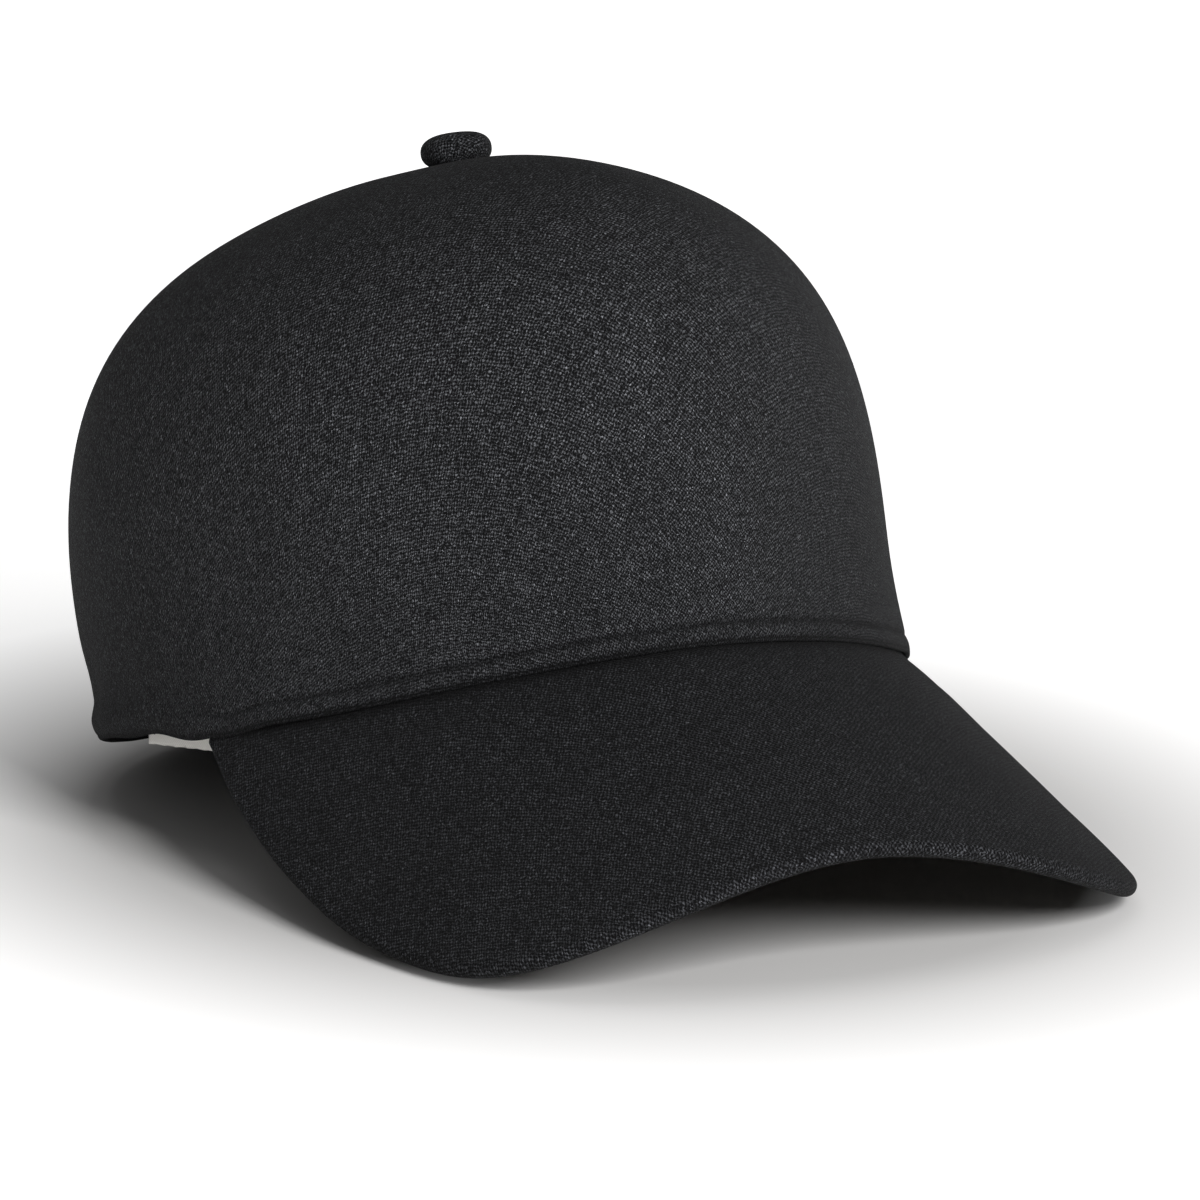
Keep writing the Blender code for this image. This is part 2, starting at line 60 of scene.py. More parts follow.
# ---- Driving dimensions of the crown and the brim, as in the CAD, in metres ----
HEM_HALF_WIDTH = 0.0882
HEM_HALF_LENGTH = 0.1018
HEM_EGG = 0.174
CROWN_HEIGHT = 0.119
CROWN_SHIFT = 0.0018
BULGE_TOP = 0.45
HEIGHT_POWER = (3.8, 4.3, 2.8)
PLAN_POWER = (2.1, 1.76, 1.96)
BULGE = (0.007, 0.024, 0.096)
BRIM_CORNER = math.radians(77.2)
BRIM_LENGTH = 0.0736
BRIM_HALF_WIDTH = 0.0878
BRIM_WIDEST = 0.0756
BRIM_CORNER_FLARE = 0.001
BRIM_SQUARENESS = 2.76
BRIM_SLOPE = math.radians(32.2)
BRIM_ARCH = 0.0518
BRIM_ARCH_POWER = 1.92
BRIM_FLATTENING = 0.15
COVER = 1.2 * MM
SHELL_INSET = 5.0 * MM
SHELL_CLEARANCE = 8.5 * MM
SHELL_ROUNDING = 1.5 * MM
SHELL_RIM = 37 * MM
BRIM_ROUND_SHARE = 0.75  # of the brim's outline, from the middle to where it runs back

MERIDIAN_SAMPLES = 500
NORMAL_STEP = 0.004  # radians either side of a meridian


# ---- Shapes, all in the cap's frame ----
def smooth(edge0, edge1, x):
    t = np.clip((x - edge0) / (edge1 - edge0), 0.0, 1.0)
    return t * t * (3.0 - 2.0 * t)


def bell(x, middle, width):
    return np.exp(-(((x - middle) / width) ** 2))


def full_circle(count):
    return np.linspace(0.0, 2.0 * math.pi, count, endpoint=False)


def unit(vectors):
    return vectors / np.linalg.norm(vectors, axis=-1, keepdims=True)


def by_direction(values, phi):
    front, side, rear = values
    ahead = np.maximum(np.cos(phi), 0.0) ** 2
    behind = np.maximum(-np.cos(phi), 0.0) ** 2
    return side + (front - side) * ahead + (rear - side) * behind


def wrap_angle(phi):
    return (phi + math.pi) % (2.0 * math.pi) - math.pi


def hem_plan(phi):
    x = HEM_HALF_WIDTH * np.sin(phi) * (1.0 - HEM_EGG * np.cos(phi))
    return np.stack([x, -HEM_HALF_LENGTH * np.cos(phi)], axis=-1)


def brim_height(x, forward):
    ahead = forward - HEM_HALF_LENGTH
    arch = BRIM_ARCH * (1.0 - BRIM_FLATTENING * ahead / BRIM_LENGTH)
    drop = arch * (np.abs(x) / BRIM_HALF_WIDTH) ** BRIM_ARCH_POWER
    return -ahead * math.tan(BRIM_SLOPE) - drop


def hem_height(phi):
    phi = np.abs(wrap_angle(phi))
    plan = hem_plan(np.minimum(phi, BRIM_CORNER))
    level = brim_height(plan[..., 0], -plan[..., 1])
    return level * (1.0 - smooth(BRIM_CORNER, BRIM_CORNER + math.radians(30.0), phi))


def crown_meridians(phi):
    """Outside of the crown as an array of (angle, step up the wall, xyz)."""
    share = np.linspace(0.0, 1.0, MERIDIAN_SAMPLES)[None, :]
    phi = np.asarray(phi)[:, None]
    power = by_direction(HEIGHT_POWER, phi)
    height = np.sin(0.5 * math.pi * share ** (power / 2.0)) ** (2.0 / power)
    narrowing = np.maximum(1.0 - height**power, 0.0) ** (1.0 / by_direction(PLAN_POWER, phi))
    swell = 1.0 - (1.0 - np.clip(height / BULGE_TOP, 0.0, 1.0)) ** 2
    reach = narrowing * (1.0 + by_direction(BULGE, phi) * swell)
    plan = hem_plan(phi)
    low = hem_height(phi)
    x = plan[..., 0] * reach
    y = plan[..., 1] * reach - CROWN_SHIFT * height**2
    return np.stack([x, y, low + (CROWN_HEIGHT - low) * height], axis=-1)


def outward(surface, phi):
    """Unit normals of a dome given as meridians."""
    across = surface(phi + NORMAL_STEP) - surface(phi - NORMAL_STEP)
    normals = np.cross(across, np.gradient(surface(phi), axis=1))
    normals[:, -1] = (0.0, 0.0, 1.0)
    return unit(normals)


def shell_meridians(phi):
    """Outside of the impact shell."""
    phi = np.asarray(phi)
    crown = crown_meridians(phi)
    points = crown - SHELL_INSET * outward(crown_meridians, phi)
    limit = np.linalg.norm(hem_plan(phi), axis=-1)[:, None] - SHELL_CLEARANCE
    radius = np.maximum(np.linalg.norm(points[..., :2], axis=-1), 1e-9)
    apart = np.sqrt((radius - limit) ** 2 + 4.0 * SHELL_ROUNDING**2)
    points[..., :2] *= (0.5 * (radius + limit - apart) / radius)[..., None]
    points[:, -1, :2] = crown[:, -1, :2]
    return points


class Dome:
    """A dome sampled once, then read at any angle and distance up its wall."""

    COLUMNS = 720
    ROWS = 360

    def __init__(self, surface):
        phi = full_circle(self.COLUMNS)
        points, normals = surface(phi), outward(surface, phi)
        steps = np.linalg.norm(np.diff(points, axis=1), axis=-1)
        length = np.concatenate([np.zeros((self.COLUMNS, 1)), np.cumsum(steps, axis=1)], axis=1)
        self.length = length[:, -1]
        self.table = np.empty((self.COLUMNS, self.ROWS, 6))
        share = np.linspace(0.0, 1.0, self.ROWS)
        for i in range(self.COLUMNS):
            both = np.concatenate([points[i], normals[i]], axis=1)
            for axis in range(6):
                self.table[i, :, axis] = np.interp(share * self.length[i], length[i], both[:, axis])

    def wall(self, phi):
        """Length of the wall from the rim to the apex at each angle."""
        place = (phi % (2.0 * math.pi)) / (2.0 * math.pi) * self.COLUMNS
        return np.interp(place, np.arange(self.COLUMNS + 1), np.append(self.length, self.length[0]))

    def at(self, phi, distance):
        """Points and outward normals; phi and distance are arrays of one shape."""
        column = (phi % (2.0 * math.pi)) / (2.0 * math.pi) * self.COLUMNS
        row = np.clip(distance / self.wall(phi), 0.0, 1.0) * (self.ROWS - 1)
        i, k = np.floor(column).astype(int), np.minimum(np.floor(row).astype(int), self.ROWS - 2)
        a, b = (column - i)[..., None], (row - k)[..., None]
        i, j = i % self.COLUMNS, (i + 1) % self.COLUMNS
        low = self.table[i, k] * (1 - b) + self.table[i, k + 1] * b
        high = self.table[j, k] * (1 - b) + self.table[j, k + 1] * b
        found = low * (1 - a) + high * a
        return found[..., :3], unit(found[..., 3:])


def spread(phi, distances):
    """Angles repeated to match an (angle, row) array of distances."""
    return np.repeat(np.asarray(phi)[:, None], distances.shape[1], axis=1)


def brim_outline(turn):
    """Outer edge of the brim in plan, as (x, forward); turn runs from -1 to 1."""
    side, turn = np.sign(turn), np.abs(turn)
    corner = hem_plan(np.array(BRIM_CORNER))
    power = 2.0 / BRIM_SQUARENESS
    angle = np.minimum(turn / BRIM_ROUND_SHARE, 1.0) * 0.5 * math.pi
    reach = HEM_HALF_LENGTH + BRIM_LENGTH - BRIM_WIDEST
    along = np.clip((turn - BRIM_ROUND_SHARE) / (1.0 - BRIM_ROUND_SHARE), 0.0, None)
    narrowing = BRIM_HALF_WIDTH - corner[0] - BRIM_CORNER_FLARE
    x = BRIM_HALF_WIDTH * np.sin(angle) ** power - narrowing * along**2
    forward = BRIM_WIDEST + reach * np.maximum(np.cos(angle), 0.0) ** power
    return np.stack([side * x, forward - (BRIM_WIDEST + corner[1]) * along], axis=-1)


def brim_points(turn, out):
    """Middle sheet of the brim; out runs from the hem (0) to the edge (1)."""
    inner = hem_plan(turn * BRIM_CORNER) * np.array([1.0, -1.0])
    plan = inner + (brim_outline(turn) - inner) * out[..., None]
    height = brim_height(plan[..., 0], plan[..., 1])
    return np.stack([plan[..., 0], -plan[..., 1], height], axis=-1)


def brim_normals(turn, out):
    step = 0.002
    forwards = brim_points(turn, out + step) - brim_points(turn, out - step)
    across = brim_points(turn + step, out) - brim_points(turn - step, out)
    normals = np.cross(forwards, across)
    return unit(normals)


def cap_matrix():
    """The cap's frame in the world: its hinge line and its axis are known there."""
    corner = hem_plan(np.array(BRIM_CORNER))
    hinge = Vector((0.0, corner[1], brim_height(corner[0], -corner[1])))
    turn = Matrix.Rotation(-TILT, 4, "X")
    place = Vector(JOINTS["brim_flex"]["pos_m"]) - turn @ hinge
    return Matrix.Translation(place) @ turn


CAP = cap_matrix()
CROWN = Dome(crown_meridians)
INSERT = Dome(shell_meridians)


# ---- Mesh building ----
KNIT_CENTRE = np.array([0.0, 0.0, 0.004])
KNIT_RADII = np.array([0.090, 0.103, 0.103])
KNIT_REACH = 0.100  # metres of knit per radian away from the apex


def knit_uv(points):
    """Where a flat knit ends up when it is moulded over the dome, in metres."""
    way = unit((points - KNIT_CENTRE) / KNIT_RADII)
    flat = np.maximum(np.hypot(way[..., 0], way[..., 1]), 1e-6)
    reach = KNIT_REACH * np.arctan2(flat, way[..., 2])
    return reach * way[..., 0] / flat, reach * way[..., 1] / flat


def grid_object(name, points, uv, ring=False, flip=False, tip=(), tone_and_painted_shade=None):
    """Loft a grid of points (column, row, xyz) in the cap's frame into a smooth mesh.

    tip lists (point, row, turned): a row of the ring is closed by a fan to the point.
    """
    count, rows = points.shape[:2]
    verts = [tuple(p) for p in points.reshape(-1, 3)]
    u, v = (np.asarray(a).reshape(-1) for a in uv)
    last = count if ring else count - 1
    faces = []
    for i in range(last):
        j = (i + 1) % count
        for k in range(rows - 1):
            face = (i * rows + k, j * rows + k, j * rows + k + 1, i * rows + k + 1)
            faces.append(face[::-1] if flip else face)
    for point, row, turned in tip:
        verts.append(tuple(point))
        u, v = np.append(u, 0.0), np.append(v, 0.0)
        for i in range(last):
            face = (i * rows + row, ((i + 1) % count) * rows + row, len(verts) - 1)
            faces.append(face[::-1] if turned else face)
    mesh = bpy.data.meshes.new(name)
    mesh.from_pydata(verts, [], faces)
    layer = mesh.uv_layers.new(name="knit")
    corners = np.empty(len(mesh.loops), np.int32)
    mesh.loops.foreach_get("vertex_index", corners)
    layer.data.foreach_set("uv", np.stack([u[corners], v[corners]], axis=1).astype(np.float32).ravel())
    # Point attribute of painted shade, read by the knit material: 1 leaves the colour as it is, lower values
    # paint shade.
    shade = np.ones(len(verts), np.float32)
    if tone_and_painted_shade is not None:
        shade[:tone_and_painted_shade.size] = tone_and_painted_shade.reshape(-1)
    mesh.attributes.new("tone_and_painted_shade", "FLOAT", "POINT").data.foreach_set("value", shade)
    mesh.shade_smooth()
    mesh.transform(CAP)
    return add_object(name, mesh)


def add_object(name, data):
    made = bpy.data.objects.new(name, data)
    bpy.context.scene.collection.objects.link(made)
    return made


def add_modifier(made, kind, **settings):
    modifier = made.modifiers.new(kind.lower(), kind)
    for key, value in settings.items():
        setattr(modifier, key, value)
    return modifier


def stand_in(made, look, node, body):
    """Give a piece its material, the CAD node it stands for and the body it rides."""
    made.data.materials.append(look)
    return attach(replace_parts(made, node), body)


def noise_along(phi, seed, waves=7):
    """A smooth closed random curve round the cap, about -1 to 1."""
    random = np.random.default_rng(seed)
    total = np.zeros_like(phi)
    for harmonic in range(2, 2 + waves):
        total += random.normal() * np.cos(harmonic * phi + random.uniform(0, 2 * math.pi))
    return total / math.sqrt(waves)


# ---- Materials ----
class Nodes:
    """A small helper that wires shader nodes."""

    def __init__(self, name):
        self.material = bpy.data.materials.new(name)
        self.material.use_nodes = True
        self.tree = self.material.node_tree
        self.surface = self.tree.nodes["Principled BSDF"]

    def add(self, kind, inputs=None, **settings):
        node = self.tree.nodes.new(kind)
        for key, value in settings.items():
            setattr(node, key, value)
        for key, value in (inputs or {}).items():
            self.put(node.inputs[key], value)
        return node

    def put(self, socket, value):
        if isinstance(value, bpy.types.NodeSocket):
            self.tree.links.new(value, socket)
        else:
            socket.default_value = value

    def math(self, operation, a, b=0.0):
        return self.add("ShaderNodeMath", {0: a, 1: b}, operation=operation).outputs[0]

    def product(self, first, *others):
        for other in others:
            first = self.math("MULTIPLY", first, other)
        return first

    def uv(self):
        return self.add("ShaderNodeUVMap", uv_map="knit").outputs[0]

    def space(self):
        return self.add("ShaderNodeTexCoord").outputs["Object"]

    def noise(self, vector, scale, detail=2.0, roughness=0.5):
        node = self.add("ShaderNodeTexNoise", {"Vector": vector, "Scale": scale, "Detail": detail,
                                               "Roughness": roughness})
        return node.outputs["Fac"]

    def span(self, value, low, high, to_low=0.0, to_high=1.0):
        node = self.add("ShaderNodeMapRange", {"Value": value, "From Min": low, "From Max": high,
                                               "To Min": to_low, "To Max": to_high})
        return node.outputs[0]

    def mix(self, factor, a, b):
        node = self.add("ShaderNodeMix", data_type="RGBA")
        self.put(node.inputs[0], factor)
        self.put(node.inputs[6], a)
        self.put(node.inputs[7], b)
        return node.outputs[2]

    def bump(self, height, distance, strength):
        inputs = {"Height": height, "Distance": distance, "Strength": strength}
        return self.add("ShaderNodeBump", inputs).outputs[0]

    def finish(self, **inputs):
        for key, value in inputs.items():
            self.put(self.surface.inputs[key.replace("_", " ")], value)
        return self.material


def rgb(r, g, b):
    return (r, g, b, 1.0)


KNIT_RELIEF = 0.35 * MM
KNIT_UNEVENNESS = 2.1 * MM  # scale of the noise that shifts the loops about
KNIT_PORE = rgb(0.002, 0.002, 0.0025)


def knit_material(name, wale, course, yarn):
    """Pique knit: staggered pores between rounded loops of yarn, fuzzy and slightly uneven.

    The point attribute paints shade into folds, grooves and the cap's inside; cloth seen aslant gets painted
    shade too, and bright fibre cells get painted glints.
    """
    n = Nodes(name)
    uv = n.uv()
    wobble = n.add("ShaderNodeTexNoise", {"Vector": uv, "Scale": 620.0, "Detail": 4.0,
                                          "Roughness": 0.65}).outputs["Color"]
    shift = n.add("ShaderNodeVectorMath", {0: wobble, 1: (0.5, 0.5, 0.5)}, operation="SUBTRACT").outputs[0]
    shift = n.add("ShaderNodeVectorMath", {0: shift, "Scale": KNIT_UNEVENNESS},
                  operation="SCALE").outputs[0]
    place = n.add("ShaderNodeVectorMath", {0: uv, 1: shift}, operation="ADD").outputs[0]
    parts = n.add("ShaderNodeSeparateXYZ", {0: place})
    along = n.product(parts.outputs[0], 2.0 * math.pi / course)
    up = n.product(parts.outputs[1], 2.0 * math.pi / wale)
    lattice = n.product(n.math("COSINE", along), n.math("COSINE", up))
    loops = n.span(lattice, -0.40, 0.60)
    fibres = n.noise(uv, 2600.0, 3.0, 0.7)
    height = n.math("ADD", loops, n.product(fibres, 0.6))
    cells = n.add("ShaderNodeTexVoronoi", {"Vector": place, "Scale": 1.9 / wale}).outputs["Color"]
    each = n.add("ShaderNodeSeparateXYZ", {0: cells}).outputs[0]
    blotches = n.noise(uv, 30.0, 4.0, 0.55)
    shade = n.product(n.math("POWER", loops, 1.4), n.span(each, 0.0, 1.0, 0.05, 1.65),
                      n.span(blotches, 0.3, 0.7, 0.85, 1.1), n.span(fibres, 0.3, 0.7, 0.35, 1.65))
    glint = n.span(n.product(each, fibres), 0.46, 0.60, 0.0, 1.3)
    # Painted shade: the point attribute darkens folds, grooves and the inside, and cloth seen aslant is
    # darkened as well.
    tone_and_painted_shade = n.add("ShaderNodeAttribute", attribute_name="tone_and_painted_shade").outputs["Fac"]
    grazing_painted_shade = n.add("ShaderNodeLayerWeight", {"Blend": 0.5}).outputs["Facing"]
    shade = n.product(n.math("ADD", shade, n.product(glint, loops)), tone_and_painted_shade,
                      n.span(grazing_painted_shade, 0.12, 0.80, 1.0, 0.48))
    mixed = n.add("ShaderNodeMix", data_type="RGBA", clamp_factor=False)
    for socket, value in ((0, shade), (6, KNIT_PORE), (7, yarn)):
        n.put(mixed.inputs[socket], value)
    return n.finish(Base_Color=mixed.outputs[2], Roughness=n.span(fibres, 0.3, 0.7, 0.75, 0.95),
                    Sheen_Weight=0.02, Sheen_Roughness=0.4, Specular_IOR_Level=0.15,
                    Normal=n.bump(height, KNIT_RELIEF, 0.9))


def lining_material():
    """Brushed lining: fine threads running across, browner than the knit."""
    n = Nodes("brushed_lining")
    uv = n.uv()
    stretched = n.add("ShaderNodeMapping", {"Vector": uv, "Scale": (180.0, 2400.0, 1.0)}).outputs[0]
    threads = n.noise(stretched, 1.0, 4.0, 0.6)
    blotches = n.noise(uv, 50.0, 3.0)
    colour = n.mix(n.span(threads, 0.3, 0.7), rgb(0.022, 0.019, 0.016), rgb(0.060, 0.054, 0.045))
    colour = n.mix(n.span(blotches, 0.35, 0.7, 0.0, 0.4), colour, rgb(0.030, 0.026, 0.022))
    return n.finish(Base_Color=colour, Roughness=0.9, Sheen_Weight=0.1,
                    Specular_IOR_Level=0.2, Normal=n.bump(threads, 0.00025, 0.7))


def woven_material(name, dark, light, pitch, relief=0.0002, roughness=0.9, specks=0.0):
    """Plain woven cloth: over-and-under threads in both directions, with a few specks of lint."""
    n = Nodes(name)
    uv = n.uv()
    parts = n.add("ShaderNodeSeparateXYZ", {0: uv})
    warp = n.math("SINE", n.product(parts.outputs[0], math.pi / pitch))
    weft = n.math("SINE", n.product(parts.outputs[1], math.pi / pitch))
    weave = n.span(n.product(warp, weft), -1.0, 1.0)
    fibres = n.noise(uv, 2500.0, 3.0, 0.6)
    wear = n.noise(uv, 60.0, 4.0, 0.6)
    height = n.math("ADD", weave, n.product(fibres, 0.5))
    shade = n.product(height, n.span(wear, 0.3, 0.7, 0.45, 0.85))
    colour = n.mix(shade, dark, light)
    if specks:
        lint = n.span(n.noise(uv, 700.0, 1.0), 0.71, 0.75)
        colour = n.mix(n.product(lint, specks), colour, rgb(0.05, 0.045, 0.035))
    return n.finish(Base_Color=colour, Roughness=roughness, Sheen_Weight=0.1,
                    Specular_IOR_Level=0.25, Normal=n.bump(height, relief, 0.8))


def solid_material(name, dark, light, scale, relief, roughness, metallic=0.0, specular=0.5):
    """Moulded, foamed or plated stuff: fine grain, gentle blotches and light scuffs."""
    n = Nodes(name)
    place = n.space()
    grain = n.noise(place, scale, 3.0, 0.6)
    blotches = n.noise(place, 35.0, 3.0)
    scuffs = n.add("ShaderNodeMapping", {"Vector": place, "Scale": (30.0, 400.0, 90.0)}).outputs[0]
    scuffs = n.span(n.noise(scuffs, 1.0, 4.0, 0.7), 0.60, 0.80)
    colour = n.mix(n.product(n.math("ADD", grain, blotches), 0.5), dark, light)
    rough = n.span(blotches, 0.3, 0.7, roughness * 0.85, min(roughness * 1.15, 1.0))
    rough = n.math("ADD", rough, n.product(scuffs, 0.12))
    return n.finish(Base_Color=colour, Roughness=rough, Metallic=metallic,
                    Specular_IOR_Level=specular, Normal=n.bump(grain, relief, 0.6))


# ---- Crown ----
HEM_RADIUS = (0.9 * MM, 1.5 * MM)  # of the fold at the hem's lower edge, front and rear
HEM_PUSH = 1.3 * MM  # how far the front hem stands forward over the brim
BRIM_ROOT = 1.3 * MM  # half the brim's thickness at the hem
HEM_FRONT = 3.9 * MM  # height of the turned hem along the brim
HEM_REAR = 8.5 * MM
HEM_ARCH = 2.1 * MM  # rise of the lower edge at the wearer's right
HEM_CREST = 0.32  # share of the turned hem's height where it stands out most
GROOVE_DEPTH = 0.75 * MM
GROOVE_HALF_WIDTH = 0.6 * MM
CORNER_DEGREES = 73.0  # where the hem flares out over the brim's corners
CREASE_DEGREES = -112.0  # of the upright crease at the right rear
DIMPLE = 0.8 * MM  # the button draws the crown in
DIMPLE_REACH = 15 * MM


def in_front(phi):
    """1 along the brim, fading to 0 just behind its corners."""
    return 1.0 - smooth(BRIM_CORNER - 0.06, BRIM_CORNER + 0.10, np.abs(wrap_angle(phi)))


def hem_radius(phi):
    front = in_front(phi)
    return HEM_RADIUS[0] * front + HEM_RADIUS[1] * (1.0 - front)


def hem_lift(phi):
    """How far the hem's lower edge stands above the CAD's hem line."""
    ripple = HEM_ARCH * bell(np.degrees(wrap_angle(phi)), -89.0, 6.5)
    waves = 0.35 * MM * noise_along(phi, 5) * (1.0 - in_front(phi))
    rest = smooth(math.radians(130.0), math.radians(160.0), np.abs(wrap_angle(phi)))
    turn = np.abs(wrap_angle(phi)) / BRIM_CORNER
    over = 1.0 - smooth(0.84, 0.97, turn)
    on_brim = (BRIM_ROOT + hem_radius(phi) + 0.5 * MM - 0.63 * HEM_PUSH) * over
    return on_brim + (ripple + waves) * (1.0 - rest) * (1.0 - over) + 1.5 * MM * rest


def hem_band(phi):
    front = in_front(phi)
    return HEM_REAR + (HEM_FRONT - HEM_REAR) * front


def groove_shape(phi, distance):
    """1 along the line of stitches over the turned hem, falling to 0 beside it."""
    return bell(distance, hem_band(phi), GROOVE_HALF_WIDTH)


def hem_swell(phi, distance):
    """How far the turned hem stands out from the wall, and the stitched groove above it."""
    front = in_front(phi)
    band = hem_band(phi)
    size = (1.55 - 0.60 * front) * MM + 0.25 * MM * noise_along(phi, 11) * (1.0 - front)
    share = np.clip(distance / band, 0.0, 1.0)
    rising = np.sqrt(np.clip(1.0 - 0.6 * (1.0 - share / HEM_CREST) ** 2, 0.0, 1.0))
    falling = 0.5 + 0.5 * np.cos(math.pi * np.clip((share - HEM_CREST) / (1.0 - HEM_CREST), 0.0, 1.0))
    roll = size * np.where(share < HEM_CREST, rising, falling)
    groove = GROOVE_DEPTH * front * groove_shape(phi, distance)
    corner = bell(np.degrees(np.abs(wrap_angle(phi))), CORNER_DEGREES, 13.0)
    flare = 3.4 * MM * corner * (1.0 - smooth(-8 * MM, 30 * MM, distance)) ** 1.5
    push = HEM_PUSH * front * (1.0 - corner) * (1.0 - smooth(0.0, 11 * MM, distance))
    waist = 0.5 * MM * (1.0 - front) * bell(distance, 13 * MM, 6 * MM)
    return (roll - groove) * (1.0 - 0.7 * corner) + flare + push - waist


def soft_waves(phi, distance, length):
    """Broad, shallow unevenness of cloth over foam, a crease at the right rear, the button's dimple."""
    fade = smooth(0.0, 20 * MM, distance) * (1.0 - smooth(110 * MM, 150 * MM, distance))
    waves = 0.35 * MM * noise_along(phi + 6.0 * distance, 21) * fade
    crease = 0.5 * MM * bell(np.degrees(wrap_angle(phi)), CREASE_DEGREES, 4.0)
    crease = crease * (1.0 - smooth(12 * MM, 28 * MM, distance))
    dimple = DIMPLE * bell(distance, length, DIMPLE_REACH)
    return waves - crease - dimple


def make_crown(look):
    """One closed knit skin: outside, turned hem and inside."""
    phi = full_circle(288)
    around = phi[:, None]
    length = CROWN.wall(phi)[:, None]
    start = hem_lift(phi)[:, None]
    low = start + np.linspace(0.0, 9.0 * MM, 28)[None, :]
    top = low[:, -1:] + (length - 1.2 * MM - low[:, -1:]) * np.linspace(0.0, 1.0, 64)[None, 1:]
    outside = np.concatenate([low, top], axis=1)
    points, normals = CROWN.at(spread(phi, outside), outside)
    proud = hem_swell(around, outside - start) + soft_waves(around, outside, length)
    skin = points + normals * proud[..., None]
    within = outside[:, ::2]
    inner_points, inner_normals = CROWN.at(spread(phi, within), within)
    radius = hem_radius(phi)[:, None]
    inset = COVER + (2.0 * radius - COVER) * (1.0 - smooth(0.0, 6 * MM, within - start))
    inset -= hem_swell(around, within - start) * (1.0 - smooth(2 * MM, 12 * MM, within - start))
    inset += DIMPLE * bell(within, length, DIMPLE_REACH)
    lining = inner_points - inner_normals * inset[..., None]
    edge, facing = skin[:, :1], normals[:, :1]
    down = np.array([0.0, 0.0, -1.0])
    angles = np.radians(np.linspace(20.0, 160.0, 7))[None, :, None]
    radius = radius[..., None]
    fold = edge - facing * radius * (1.0 - np.cos(angles)) + down * radius * np.sin(angles)
    grid = np.concatenate([lining[:, ::-1], fold[:, ::-1], skin], axis=1)
    # Painted shade for the knit's colour: in the stitched groove, along the hem's lower edge where it meets
    # the brim, and over the fold and the whole inside.
    crease = 0.6 * in_front(around) * groove_shape(around, outside - start)
    under = 0.95 * np.exp(-(outside - start) / (0.55 * MM)) * in_front(around)
    tone_and_painted_shade = np.full(grid.shape[:2], 0.35)
    tone_and_painted_shade[:, -skin.shape[1]:] = (1.0 - crease) * (1.0 - under)
    apex = crown_meridians(np.array([0.0]))[0, -1] - np.array([0.0, 0.0, DIMPLE])
    tips = [(apex, grid.shape[1] - 1, False), (apex - np.array([0, 0, COVER]), 0, True)]
    made = grid_object("crown_knit", grid, knit_uv(grid), ring=True, tip=tips, tone_and_painted_shade=tone_and_painted_shade)
    made.data.materials.append(look)
    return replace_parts(made, "crown_cover")


def follow_brim(made):
    """Bake the piece's placement into its mesh."""
    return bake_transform(made)


def stitch_row(name, phi, distances, depth, size, look):
    """Small raised stitches laid end to end along the wall."""
    at, facing = CROWN.at(phi[:, None], distances[:, None])
    build = bmesh.new()
    for i in range(1, len(phi) - 1):
        ahead = Vector(at[i + 1, 0] - at[i - 1, 0]).normalized()
        normal = Vector(facing[i, 0])
        side = normal.cross(ahead).normalized()
        normal = ahead.cross(side)
        turn = Matrix((ahead, side, normal)).transposed().to_4x4()
        centre = Vector(at[i, 0]) - normal * depth
        shape = Matrix.Diagonal((size, 0.26 * MM, 0.26 * MM, 1.0))
        bmesh.ops.create_uvsphere(build, u_segments=8, v_segments=6, radius=1.0,
                                  matrix=Matrix.Translation(centre) @ turn @ shape)
    return finish_build(name, build, look)


def finish_build(name, build, look):
    mesh = bpy.data.meshes.new(name)
    build.to_mesh(mesh)
    build.free()
    mesh.transform(CAP)
    mesh.shade_smooth()
    mesh.materials.append(look)
    return add_object(name, mesh)


def make_hem_stitches(look):
    """The line of stitches over the turned hem, from corner to corner of the brim."""
    phi = np.linspace(-BRIM_CORNER - 0.04, BRIM_CORNER + 0.04, 104)
    row = hem_lift(phi) + hem_band(phi)
    return follow_brim(stitch_row("hem_stitches", phi, row, 0.35 * MM, 0.80 * MM, look))


# ---- Layers inside the hem ----
BAND_COLUMNS = 216
BAND_ROWS = 40


def band_loop(name, low, high, depth, thickness, belly, look, node, turned=False):
    """A soft tape running all round inside the wall, as one closed loop with rounded edges.

    A turned one starts at the hem's fold; depth is under the crown's outside.
    """
    phi = full_circle(BAND_COLUMNS)
    start = np.maximum(hem_lift(phi) - hem_radius(phi), 0.0)[:, None] if turned else 0.0
    turn = full_circle(BAND_ROWS)
    way = np.sign(np.sin(turn)) * np.abs(np.sin(turn)) ** 0.35
    side = np.sign(np.cos(turn)) * np.abs(np.cos(turn)) ** 0.8
    share = 0.5 + 0.5 * way
    rows = start + (low + (high - start - low) * share[None, :]) + np.zeros((BAND_COLUMNS, 1))
    points, normals = CROWN.at(spread(phi, rows), rows)
    swell = belly * np.maximum(np.sin(math.pi * share * 3.0) ** 2, 0.0) * (side < 0)
    ripple = 0.12 * MM * noise_along(phi * 9.0, 17)[:, None] * (side < 0)[None, :]
    inset = depth + 0.5 * thickness * (1.0 - side)[None, :] + swell[None, :] + ripple
    grid = points - normals * inset[..., None]
    grid = np.concatenate([grid, grid[:, :1]], axis=1)
    unrolled = np.cumsum(np.concatenate([[0.0], np.abs(np.diff(share))])) * (high - low)
    u = np.repeat((phi * 95 * MM)[:, None], BAND_ROWS + 1, axis=1)
    v = np.repeat(np.append(unrolled, unrolled[-1])[None, :], BAND_COLUMNS, axis=0)
    made = grid_object(name, grid, (u, v), ring=True, flip=True)
    add_modifier(made, "WELD", merge_threshold=1e-6)
    made.data.materials.append(look)
    return follow_brim(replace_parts(made, node))


